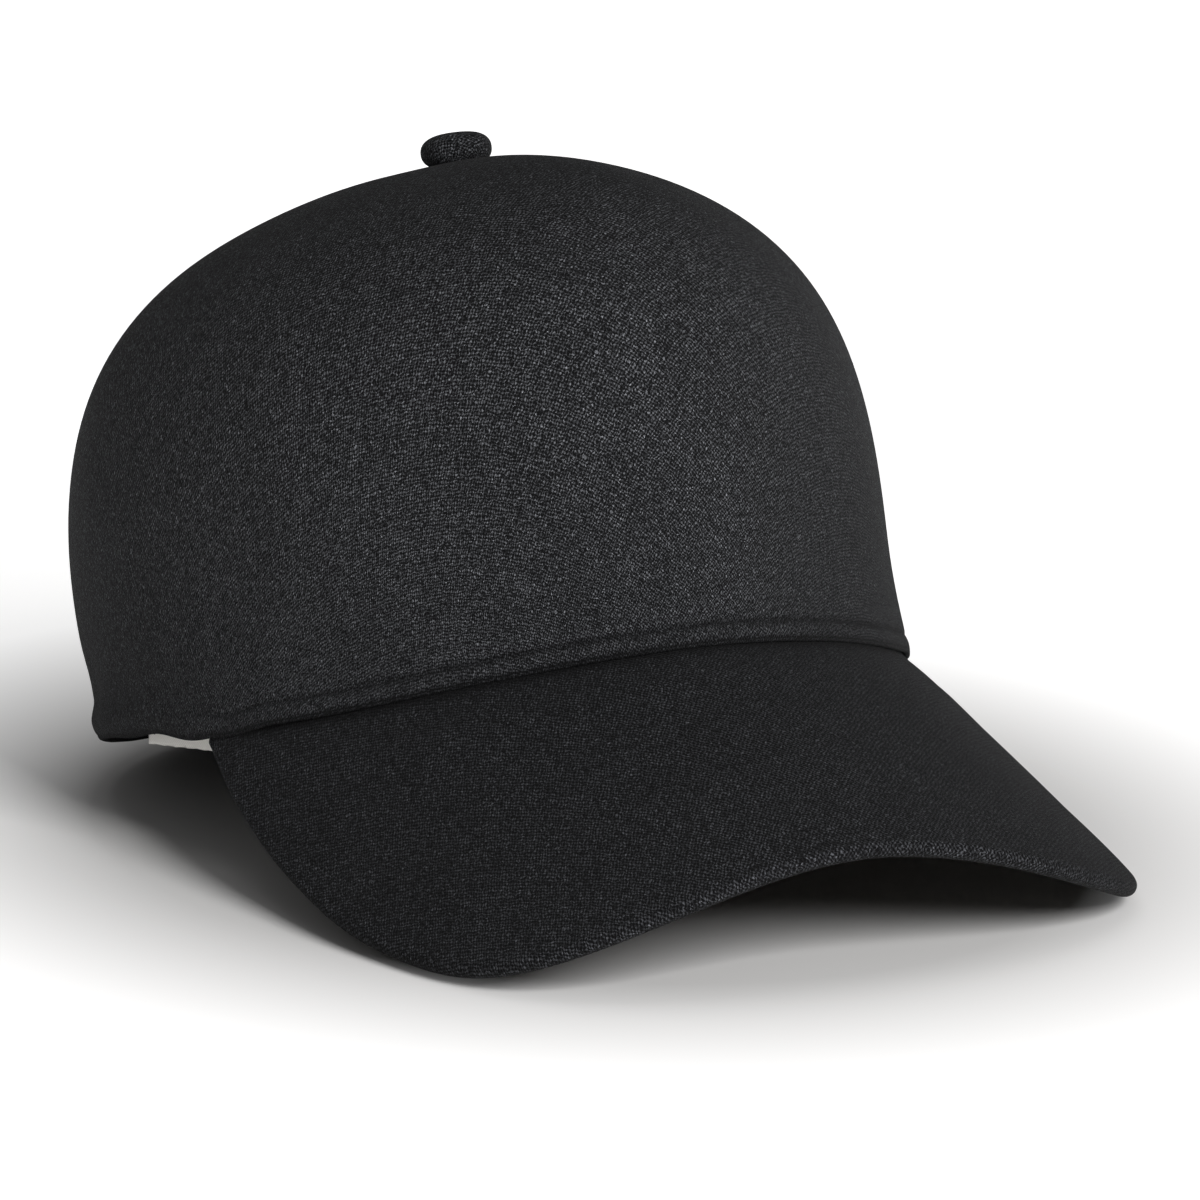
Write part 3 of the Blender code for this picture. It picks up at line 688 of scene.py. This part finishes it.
def wall_patch(name, degrees, low, high, depth, thickness, columns, rows):
    """A patch of sheet following the crown's wall, with softened edges."""
    phi = np.radians(np.linspace(degrees[0], degrees[1], columns))
    distances = np.linspace(0.0, 1.0, rows)[None, :] * (high - low) + low + np.zeros((columns, 1))
    points, normals = CROWN.at(spread(phi, distances), distances)
    grid = points - normals * depth
    u = np.repeat((phi * 60 * MM)[:, None], rows, axis=1)
    made = grid_object(name, grid, (u, distances))
    add_modifier(made, "SOLIDIFY", thickness=thickness, offset=-1.0)
    add_modifier(made, "SUBSURF", levels=1, render_levels=1)
    return made


# ---- Hook and loop patches between crown and shell ----
PATCHES = {"front": 0.0, "left": 90.0, "rear": 180.0, "right": 270.0}
PATCH_SPAN = (70 * MM, 46 * MM)  # back from the apex
PATCH_HALF = 14 * MM
TAPE = 0.45 * MM
LOOP_DEPTH = 1.75 * MM  # top of each tape under the crown's outside
HOOK_DEPTH = 3.80 * MM
TUFT_HEIGHT = 0.42 * MM
LOOP_PITCH = 0.9 * MM
HOOK_PITCH = 1.2 * MM


def patch_place(degrees):
    """Where a patch lies: its angles, and its distances up the wall."""
    phi = math.radians(degrees)
    length = CROWN.wall(np.array([phi]))[0]
    low, high = length - PATCH_SPAN[0], length - PATCH_SPAN[1]
    at, _ = CROWN.at(np.array([phi]), np.array([0.5 * (low + high)]))
    reach = math.degrees(PATCH_HALF / np.linalg.norm(at[0, :2]))
    return (degrees - reach, degrees + reach), low, high


def tufts(degrees, low, high, depth, pitch, closed, seed):
    """A bed of tiny bent hooks, or of closed loops, standing on a patch."""
    build = bmesh.new()
    random = np.random.default_rng(seed)
    wide = max(int(2 * PATCH_HALF / pitch), 2)
    tall = max(int((high - low) / pitch), 2)
    phi = np.radians(np.linspace(degrees[0], degrees[1], wide + 2)[1:-1])
    rows = np.repeat(np.linspace(low, high, tall + 2)[None, 1:-1], wide, axis=0)
    at, facing = CROWN.at(spread(phi, rows), rows)
    bends = np.radians(np.linspace(0.0, 180.0 if closed else 150.0, 5))
    for i in range(wide):
        for k in range(tall):
            normal = Vector(facing[i, k]) * (-1.0 if closed else 1.0)
            base = Vector(at[i, k]) - Vector(facing[i, k]) * depth
            side = normal.cross(Vector((0, 0, 1))).normalized()
            side.rotate(Matrix.Rotation(random.uniform(-0.9, 0.9), 3, normal))
            width = 0.30 * pitch
            spine = [base]
            for bend in bends[1:]:
                rise = normal * TUFT_HEIGHT * math.sin(bend) ** 0.7
                spine.append(base + rise + side * width * (1 - math.cos(bend)))
            across = normal.cross(side) * 0.09 * MM
            ring = [(build.verts.new(p + across), build.verts.new(p - across)) for p in spine]
            for a, b in zip(ring, ring[1:]):
                build.faces.new((a[0], b[0], b[1], a[1]))
    return build


def make_patches(hook_look, loop_look):
    """Loop tapes ride on the cap and hook tapes on the insert, each with its pile or teeth."""
    for side, degrees in PATCHES.items():
        arc, low, high = patch_place(degrees)
        loop = wall_patch("loop_tape_" + side, arc, low, high, LOOP_DEPTH, TAPE, 12, 10)
        stand_in(loop, loop_look, "loop_" + side, "cover")
        hook = wall_patch("hook_tape_" + side, arc, low, high, HOOK_DEPTH, TAPE, 12, 10)
        stand_in(hook, hook_look, "hook_" + side, "insert")
        loops = tufts(arc, low, high, LOOP_DEPTH + TAPE, LOOP_PITCH, True, 3)
        pile = finish_build("loop_pile_" + side, loops, loop_look)
        add_modifier(pile, "SOLIDIFY", thickness=0.12 * MM, offset=0.0)
        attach(pile, "cover")
        hooks = tufts(arc, low, high, HOOK_DEPTH, HOOK_PITCH, False, 4)
        pile = finish_build("hook_teeth_" + side, hooks, hook_look)
        add_modifier(pile, "SOLIDIFY", thickness=0.14 * MM, offset=0.0)
        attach(pile, "insert")


# ---- Impact shell ----
SHELL_WALL = 2.2 * MM
SLOT_DEGREES = (52, 90, 128, 232, 270, 308)
SLOT_HALF = 8.0 * MM
SLOT_RADIUS = 2.8 * MM
SLOT_UP = 63.0 * MM  # middle of the slots, up the wall
SLOT_SNAP = 0.62 * MM  # vertices this near a slot's outline are moved onto it


def slot_distance(across, up):
    """Distance outside the nearest round-ended slot, and the way out of it."""
    past = np.sign(up) * np.maximum(np.abs(up) - SLOT_HALF, 0.0)
    reach = np.hypot(across, past)
    return reach - SLOT_RADIUS, across / np.maximum(reach, 1e-9), past / np.maximum(reach, 1e-9)


def make_shell(look):
    """Moulded shell: lips round the slots, a rolled rim, shallow ribs between the slots."""
    columns, rows = 480, 96
    phi = full_circle(columns)
    length = INSERT.wall(phi)[:, None]
    share = np.linspace(0.0, 1.0, rows)[None, :]
    distance = SHELL_RIM + (length - 1.0 * MM - SHELL_RIM) * share
    at, _ = INSERT.at(spread(phi, distance), distance)
    radius = np.maximum(np.linalg.norm(at[..., :2], axis=-1), 1e-6)
    around = np.repeat(phi[:, None], rows, axis=1)
    nearest = np.full(distance.shape, 1.0)
    for degrees in SLOT_DEGREES:
        turn = wrap_angle(around - math.radians(degrees))
        across, up = turn * radius, distance - SLOT_UP
        gap, out_x, out_y = slot_distance(across, up)
        gap = np.where(np.abs(turn) < 0.4, gap, 1.0)
        snap = np.abs(gap) < SLOT_SNAP
        around = np.where(snap, around - gap * out_x / radius, around)
        distance = np.where(snap, distance - gap * out_y, distance)
        nearest = np.minimum(nearest, np.where(snap, 0.0, gap))
    grid, facing = INSERT.at(around, distance)
    lip = 0.55 * MM * bell(nearest, 1.0 * MM, 0.9 * MM)
    rim = 0.45 * MM * bell(distance, SHELL_RIM + 1.2 * MM, 1.4 * MM)
    ribs = np.maximum(np.cos(around * 18.0), 0.0) ** 6 * smooth(0.080, 0.090, distance)
    ribs = 0.35 * MM * ribs * (1.0 - smooth(0.108, 0.115, distance))
    grid += facing * (lip + rim + ribs)[..., None]
    apex = shell_meridians(np.array([0.0]))[0, -1]
    uv = (around * 90 * MM, distance)
    made = grid_object("moulded_shell", grid, uv, ring=True, tip=[(apex, rows - 1, False)])
    build = bmesh.new()
    build.from_mesh(made.data)
    build.verts.ensure_lookup_table()
    inside = nearest.reshape(-1) < 0.01 * MM
    away = [f for f in build.faces if all(v.index < inside.size and inside[v.index] for v in f.verts)]
    bmesh.ops.delete(build, geom=away, context="FACES")
    build.to_mesh(made.data)
    build.free()
    add_modifier(made, "SOLIDIFY", thickness=SHELL_WALL, offset=-1.0)
    return stand_in(made, look, "impact_shell", "insert")


# ---- Pads ----
PAD_VOXEL = 2.4 * MM
PAD_SWELL = 1.1 * MM  # the most a point may move
PAD_FRAMES = 20


def puffed(name, node, look):
    """A CAD pad blown up a little by a cloth simulation, as foam swells inside its fabric."""
    made = add_object(name, frame["nodes"][node].data.copy())
    made.data.materials.clear()
    add_modifier(made, "WELD", merge_threshold=1e-5)
    remesh = add_modifier(made, "REMESH", mode="VOXEL", voxel_size=PAD_VOXEL)
    remesh.use_smooth_shade = True
    made.data = flattened(made)
    made.modifiers.clear()
    before = vertex_array(made.data)
    cloth = made.modifiers.new("cloth", "CLOTH")
    cloth.settings.use_pressure = True
    cloth.settings.uniform_pressure_force = 4.0
    cloth.settings.quality = 6
    cloth.settings.mass = 0.2
    cloth.settings.effector_weights.gravity = 0.0
    cloth.collision_settings.use_self_collision = False
    scene = bpy.context.scene
    for step in range(1, PAD_FRAMES + 1):
        scene.frame_set(step)
    after = vertex_array(flattened(made))
    move = after - before
    move -= move.mean(axis=0)
    size = np.maximum(np.linalg.norm(move, axis=1, keepdims=True), 1e-9)
    move *= np.minimum(1.0, PAD_SWELL / size)
    made.modifiers.clear()
    made.data.vertices.foreach_set("co", (before + move).astype(np.float32).ravel())
    made.data.shade_smooth()
    add_modifier(made, "SMOOTH", factor=0.5, iterations=2)
    add_modifier(made, "SUBSURF", levels=1, render_levels=1)
    scene.frame_set(1)
    return stand_in(made, look, node, "insert")


def flattened(made):
    graph = bpy.context.evaluated_depsgraph_get()
    return bpy.data.meshes.new_from_object(made.evaluated_get(graph))


def vertex_array(mesh):
    points = np.empty(len(mesh.vertices) * 3, np.float32)
    mesh.vertices.foreach_get("co", points)
    return points.reshape(-1, 3).astype(np.float64)


def pad_material():
    """Closed-cell foam faced with a fine brushed tricot."""
    n = Nodes("pad_foam")
    place = n.space()
    cells = n.add("ShaderNodeTexVoronoi", {"Vector": place, "Scale": 900.0}).outputs["Distance"]
    grain = n.noise(place, 1400.0, 3.0, 0.6)
    blotches = n.noise(place, 60.0, 3.0)
    height = n.math("ADD", cells, n.product(grain, 0.6))
    colour = n.mix(n.product(height, n.span(blotches, 0.3, 0.7, 0.6, 1.0)),
                   rgb(0.030, 0.030, 0.032), rgb(0.105, 0.105, 0.11))
    return n.finish(Base_Color=colour, Roughness=0.92, Sheen_Weight=0.15, Specular_IOR_Level=0.2,
                    Normal=n.bump(height, 0.0003, 0.7))


# ---- Brim ----
BRIM_KNIT = 0.8 * MM
BRIM_LINING = 0.7 * MM
LINING_INSET = 0.45 * MM  # of the lining's outside from the knit's turned edge


def brim_half(turn):
    """Half the brim's thickness, thinner where it runs into the hem's corners."""
    return (2.0 - 0.9 * smooth(0.90, 1.0, np.abs(turn))) * MM


def brim_edge(turn):
    """Share of the CAD brim's reach that the soft edge takes up."""
    return 1.0 - 0.034 * bell(np.abs(turn), 0.62, 0.12)


def brim_reach(turn):
    """Where the soft edge lies, as a share of the CAD's reach, and how far that is from the hem."""
    last = brim_edge(turn)
    return last, np.linalg.norm(brim_points(turn, last) - brim_points(turn, turn * 0.0), axis=-1)


def brim_uv(points):
    """Distance across the arch and forwards along the slope."""
    x, y = points[..., 0], points[..., 1]
    curl = 2.0 * BRIM_ARCH / BRIM_HALF_WIDTH**2
    steep = curl * np.abs(x)
    across = 0.5 * x * np.sqrt(1.0 + steep**2) + 0.5 * np.sign(x) * np.arcsinh(steep) / curl
    return y / math.cos(BRIM_SLOPE), across


def brim_rise(half, distance):
    """Height of the knit over the brim's middle surface: thinner where the brim enters the hem."""
    root = 1.0 - smooth(0.0, 16 * MM, distance)
    return half + (np.minimum(half, BRIM_ROOT) - half) * root


def make_brim_knit(look):
    """Knit over the top of the board, round its edge and a short way under."""
    turn = np.linspace(-0.995, 0.995, 221)[:, None]
    top = np.concatenate([np.linspace(-0.035, 0.96, 44), np.linspace(0.97, 1.0, 4)])[None, :]
    half = brim_half(turn)[..., None]
    last, width = brim_reach(turn)
    turns = np.repeat(turn, top.shape[1], axis=1)
    outs = top * last
    ripple = 0.15 * MM * np.sin(9.0 * turns + 14.0 * outs) * np.sin(11.0 * outs - 5.0 * turns)
    edge, normal = brim_points(turn, last), brim_normals(turn, last)
    out = edge - brim_points(turn, last - 0.04)
    rise = brim_rise(half[..., 0], outs * width) + ripple
    sheet = brim_points(turns, outs) + rise[..., None] * brim_normals(turns, outs)
    out = unit(out - normal * (out * normal).sum(axis=-1, keepdims=True))
    angles = np.radians(np.linspace(75.0, -90.0, 12))[None, :, None]
    wrap = edge + half * (np.sin(angles) * normal + np.cos(angles) * out)
    back = last - np.minimum(4.0 * MM / width, 0.5)
    under = brim_points(turn, back) - half * brim_normals(turn, back)
    grid = np.concatenate([sheet, wrap, under], axis=1)
    ahead, across = brim_uv(sheet)
    arc = half[..., 0] * np.append(np.radians(90.0) - angles[0, :, 0], math.pi + 2.0)[None, :]
    away = unit(np.stack([-out[..., 1], out[..., 0]], axis=-1))
    edge_ahead, edge_across = (a[:, -1:] for a in (-ahead, across))
    uv = (np.concatenate([-ahead, edge_ahead + arc * away[..., 0]], axis=1),
          np.concatenate([across, edge_across + arc * away[..., 1]], axis=1))
    near = np.maximum(outs, 0.0) * width
    # Painted shade on the brim's top where it runs in under the hem.
    tone_and_painted_shade = np.ones(grid.shape[:2])
    tone_and_painted_shade[:, :outs.shape[1]] = 1.0 - 0.97 * bell(near, 0.0, 3.0 * MM)
    made = grid_object("brim_knit", grid, uv, flip=True, tone_and_painted_shade=tone_and_painted_shade)
    add_modifier(made, "SOLIDIFY", thickness=BRIM_KNIT, offset=-1.0)
    return stand_in(made, look, "brim_top_cover", "brim")


def make_brim_lining(look):
    """Lining under the board, ending just inside the knit's turned edge."""
    turn = np.linspace(-0.99, 0.99, 161)[:, None]
    last, width = brim_reach(turn)
    stop = last - np.minimum(3.4 * MM / width, 0.5)
    outs = -0.05 + (stop + 0.05) * np.linspace(0.0, 1.0, 40)[None, :]
    turns = np.repeat(turn, outs.shape[1], axis=1)
    depth = (brim_half(turns) - LINING_INSET)[..., None]
    grid = brim_points(turns, outs) - depth * brim_normals(turns, outs)
    made = grid_object("brim_lining", grid, brim_uv(grid))
    add_modifier(made, "SOLIDIFY", thickness=BRIM_LINING, offset=-1.0)
    return stand_in(made, look, "brim_under_cover", "brim")


def make_brim_board(look):
    """Board between knit and lining, thinned towards the hem and closed at both corners."""
    turn = np.linspace(-0.97, 0.97, 121)[:, None]
    last, width = brim_reach(turn)
    stop = last - np.minimum(2.2 * MM / width, 0.5)
    outs = stop * np.linspace(0.0, 1.0, 30)[None, :]
    turns = np.repeat(turn, outs.shape[1], axis=1)
    half = brim_half(turns)
    closing = np.sqrt(1.0 - (turn / 0.97) ** 20)
    top = (brim_rise(half, outs * width) - BRIM_KNIT - 0.1 * MM) * closing
    bottom = (half - LINING_INSET - BRIM_LINING - 0.15 * MM) * closing
    middle, normals = brim_points(turns, outs), brim_normals(turns, outs)
    upper = middle + top[..., None] * normals
    lower = middle - bottom[..., None] * normals
    bulge = upper[:, -1:] * 0.5 + lower[:, -1:] * 0.5 + (middle[:, -1:] - middle[:, -2:-1]) * 0.2
    grid = np.concatenate([upper, bulge, lower[:, ::-1], upper[:, :1]], axis=1)
    made = grid_object("moulded_board", grid, (grid[..., 0], grid[..., 1]), flip=True)
    return stand_in(made, look, "brim_board", "brim")


# ---- Button ----
def make_button(look):
    """Pillow-shaped button, its knit drawn tight round the lower edge."""
    radius, height = 8.1 * MM, 7.5 * MM
    steps = np.radians(np.linspace(-90.0, 90.0, 33))[1:-1]
    reach = np.cos(steps)[None, :] ** 0.60
    rise = np.sign(np.sin(steps)) * np.abs(np.sin(steps)) ** 0.85
    phi = full_circle(96)[:, None]
    uneven = 1.0 + 0.012 * noise_along(phi, 31)
    x = radius * reach * np.cos(phi) * uneven
    y = radius * reach * np.sin(phi) * uneven
    dome = 0.3 * MM * (1.0 - (x**2 + y**2) / radius**2)
    z = 0.5 * height * (1.0 + rise)[None, :] + dome * np.sign(rise)[None, :]
    base = crown_meridians(np.array([0.0]))[0, -1] - np.array([0.4 * MM, 0.0, DIMPLE + 0.3 * MM])
    grid = np.stack([x, y, z + 0.0 * phi], axis=-1) + base
    ring = np.linalg.norm(np.diff(grid[0], axis=0), axis=-1)
    reach = np.concatenate([[0.0], np.cumsum(ring)])[::-1][None, :] + 0.5 * MM
    uv = (np.cos(phi) * reach, np.sin(phi) * reach)
    tips = [(base + np.array([0, 0, height + 0.35 * MM]), grid.shape[1] - 1, False),
            (base - np.array([0, 0, 0.3 * MM]), 0, True)]
    made = grid_object("button_knit", grid, uv, ring=True, tip=tips)
    return stand_in(made, look, "button_cover", "cover")


# ---- Care label ----
LABEL_SIZE = (34.0 * MM, 30.5 * MM)
LABEL_TILT = math.radians(9.0)
LABEL_SHIFT = 2.0 * MM  # along the hem, towards the rear
LABEL_DROP = 1.4 * MM


def make_label(look):
    """A blank folded label, tilted a little and curling at its lower edge."""
    inverse = CAP.inverted()
    corners = np.array([inverse @ v.co for v in frame["nodes"]["care_label"].data.vertices])
    centre = corners.mean(axis=0)
    flat = corners[:, :2] - centre[:2]
    _, _, ways = np.linalg.svd(flat, full_matrices=False)
    along = np.array([ways[0, 0], ways[0, 1], 0.0])
    along *= -np.sign(along[1])
    inward = np.array([along[1], -along[0], 0.0])
    inward *= -np.sign(inward @ centre)
    width, height = LABEL_SIZE
    side, up = np.meshgrid(np.linspace(-0.5, 0.5, 41), np.linspace(0.0, 1.0, 33), indexing="ij")
    fray = 0.18 * MM * np.sin(side * 71.0) * np.sin(side * 29.0 + 1.0) * (up == 0.0)
    flat_side, flat_up = side * width, (up - 1.0) * height + fray
    shift = flat_side * math.cos(LABEL_TILT) + flat_up * math.sin(LABEL_TILT) - LABEL_SHIFT
    rise = flat_up * math.cos(LABEL_TILT) - flat_side * math.sin(LABEL_TILT)
    curl = 1.1 * MM * (1.0 - up) ** 2 * np.cos(side * 5.0) + 0.35 * MM * np.sin(side * 9.0 + 3.0 * up)
    grid = centre + shift[..., None] * along + 0.6 * curl[..., None] * inward
    grid[..., 2] = corners[:, 2].max() - LABEL_DROP + rise
    made = grid_object("label_satin", grid, (side * width, up * height))
    add_modifier(made, "SOLIDIFY", thickness=0.45 * MM, offset=0.0)
    return stand_in(made, look, "care_label", "label")


# ---- Pieces kept from the CAD ----
def dress(node, look):
    """A CAD piece shown as it is, smooth-shaded, with its own material."""
    kept = frame["nodes"][node]
    kept.data.materials.clear()
    kept.data.materials.append(look)
    kept.data.shade_smooth()
    add_modifier(kept, "WELD", merge_threshold=1e-6)
    add_modifier(kept, "EDGE_SPLIT", split_angle=math.radians(35.0))


# ---- Stage ----
def make_floor():
    """Pale floor whose glow rises away from the cap, so that its shadow fades out into white."""
    n = Nodes("pale_floor")
    place = n.space()
    flat = n.add("ShaderNodeMapping", {"Vector": place, "Scale": (1.4, 1.0, 1.0)}).outputs[0]
    away = n.add("ShaderNodeVectorMath", {0: flat}, operation="LENGTH").outputs["Value"]
    tone_and_painted_shade = n.noise(place, 3.0, 2.0)
    glow = n.math("ADD", n.span(away, 0.145, 0.26, 0.0, 0.7), n.span(away, 0.5, 1.5, 0.0, 0.35))
    n.finish(Base_Color=n.mix(tone_and_painted_shade, rgb(0.86, 0.85, 0.84), rgb(0.90, 0.89, 0.88)), Roughness=0.9,
             Specular_IOR_Level=0.1, Emission_Color=rgb(1.0, 1.0, 1.0), Emission_Strength=glow)
    bpy.ops.mesh.primitive_plane_add(size=30.0, location=(0.0, 0.0, -0.0002))
    floor = bpy.context.object
    floor.name = "floor"
    floor.data.materials.append(n.material)


def add_light(name, location, target, size, power):
    data = bpy.data.lights.new(name, "AREA")
    data.size = size
    data.energy = power
    light = add_object(name, data)
    light.location = location
    light.rotation_euler = (Vector(target) - Vector(location)).to_track_quat("-Z", "Y").to_euler()


def make_lights():
    middle = (0.0, 0.0, 0.06)
    add_light("key", (0.35, -1.85, 1.1), middle, 0.9, 41.0)
    add_light("fill", (-1.6, -1.0, 0.5), middle, 1.4, 0.8)
    add_light("top", (0.3, 0.6, 1.8), middle, 1.6, 4.0)
    world = bpy.data.worlds.new("studio")
    bpy.context.scene.world = world
    world.use_nodes = True
    tree = world.node_tree
    seen = tree.nodes.new("ShaderNodeLightPath").outputs["Is Camera Ray"]
    strength = tree.nodes.new("ShaderNodeMapRange")
    strength.inputs["To Min"].default_value = 0.10
    strength.inputs["To Max"].default_value = 1.0
    tree.links.new(seen, strength.inputs["Value"])
    tree.links.new(strength.outputs[0], tree.nodes["Background"].inputs["Strength"])
    tree.nodes["Background"].inputs["Color"].default_value = rgb(1.0, 1.0, 1.0)


def make_camera():
    """A long lens from the wearer's right front, a little above the cap."""
    azimuth, elevation, roll = (math.radians(a) for a in (-23.17, 11.72, -1.157))
    distance = 1.8507
    target = Vector((0.0, 0.0025, 0.0625))
    back = Vector((math.sin(azimuth) * math.cos(elevation),
                   -math.cos(azimuth) * math.cos(elevation), math.sin(elevation)))
    level = Vector((math.cos(azimuth), math.sin(azimuth), 0.0))
    up = back.cross(level)
    right = level * math.cos(roll) + up * math.sin(roll)
    up = back.cross(right)
    data = bpy.data.cameras.new("camera")
    data.lens = 249.95
    data.sensor_width = 36.0
    data.shift_x = 0.02305
    data.shift_y = -0.04107
    data.clip_end = 100.0
    camera = add_object("camera", data)
    turn = Matrix((right, up, back)).transposed().to_4x4()
    camera.matrix_world = Matrix.Translation(target + back * distance) @ turn
    bpy.context.scene.camera = camera


def main():
    crown_look = knit_material("crown_pique", 0.90 * MM, 1.26 * MM, rgb(0.096, 0.099, 0.107))
    brim_look = knit_material("brim_pique", 1.02 * MM, 1.42 * MM, rgb(0.058, 0.060, 0.066))
    follow_brim(make_crown(crown_look))
    thread = solid_material("thread", rgb(0.008, 0.008, 0.009), rgb(0.03, 0.031, 0.034), 4000, 0.0001, 0.7)
    make_hem_stitches(thread)
    make_brim_knit(brim_look)
    make_brim_lining(lining_material())
    make_button(crown_look)
    towel = woven_material("sweatband_towelling", rgb(0.010, 0.010, 0.011), rgb(0.055, 0.056, 0.060),
                           0.8 * MM, 0.0004)
    foam = solid_material("band_foam", rgb(0.10, 0.10, 0.105), rgb(0.24, 0.24, 0.25), 900, 0.0003, 0.95)
    elastic = woven_material("elastic_rib", rgb(0.012, 0.012, 0.013), rgb(0.06, 0.06, 0.065), 0.6 * MM)
    band_loop("hem_tape", 1.0 * MM, 9.0 * MM, 1.85 * MM, 1.1 * MM, 0.0, elastic, "hem_elastic", True)
    band_loop("band_padding", 9.8 * MM, 27.0 * MM, 1.85 * MM, 1.1 * MM, 0.0, foam, "sweatband_foam")
    band_loop("sweatband_loop", 0.6 * MM, 30.0 * MM, 3.4 * MM, 1.1 * MM, 0.8 * MM, towel, "sweatband", True)
    buckram = woven_material("buckram", rgb(0.40, 0.39, 0.36), rgb(0.80, 0.79, 0.75), 0.7 * MM, 0.0003)
    stiff = wall_patch("front_buckram", (-52.5, 52.5), 40 * MM, 100 * MM, 1.8 * MM, 0.55 * MM, 40, 30)
    stand_in(stiff, buckram, "front_interlining", "cover")
    hook_look = solid_material("hook_tape", rgb(0.008, 0.008, 0.008), rgb(0.035, 0.035, 0.037), 2500, 0.0001,
                               0.6)
    loop_look = solid_material("loop_pile", rgb(0.010, 0.010, 0.010), rgb(0.05, 0.05, 0.053), 3000, 0.0002,
                               0.95, specular=0.2)
    make_patches(hook_look, loop_look)
    make_shell(solid_material("moulded_polymer", rgb(0.012, 0.012, 0.013), rgb(0.035, 0.035, 0.038), 2200,
                              0.00008, 0.42))
    pad_look = pad_material()
    for name in ("crown_pad", "front_pad", "rear_pad", "left_pad", "right_pad"):
        puffed("soft_" + name, name, pad_look)
    make_label(woven_material("label_satin", rgb(0.80, 0.78, 0.72), rgb(0.97, 0.96, 0.92), 0.35 * MM, 0.0001,
                              0.6, specks=0.85))
    metal = solid_material("button_metal", rgb(0.45, 0.45, 0.43), rgb(0.66, 0.66, 0.64), 900, 0.00005, 0.32,
                           metallic=1.0)
    for name in ("button_core", "button_rivet", "button_washer"):
        dress(name, metal)
    make_brim_board(solid_material("brim_board", rgb(0.02, 0.02, 0.02), rgb(0.06, 0.06, 0.06), 1500, 0.0001,
                                   0.6))
    make_floor()
    make_lights()
    make_camera()
    bpy.context.scene.view_settings.view_transform = "Standard"


main()
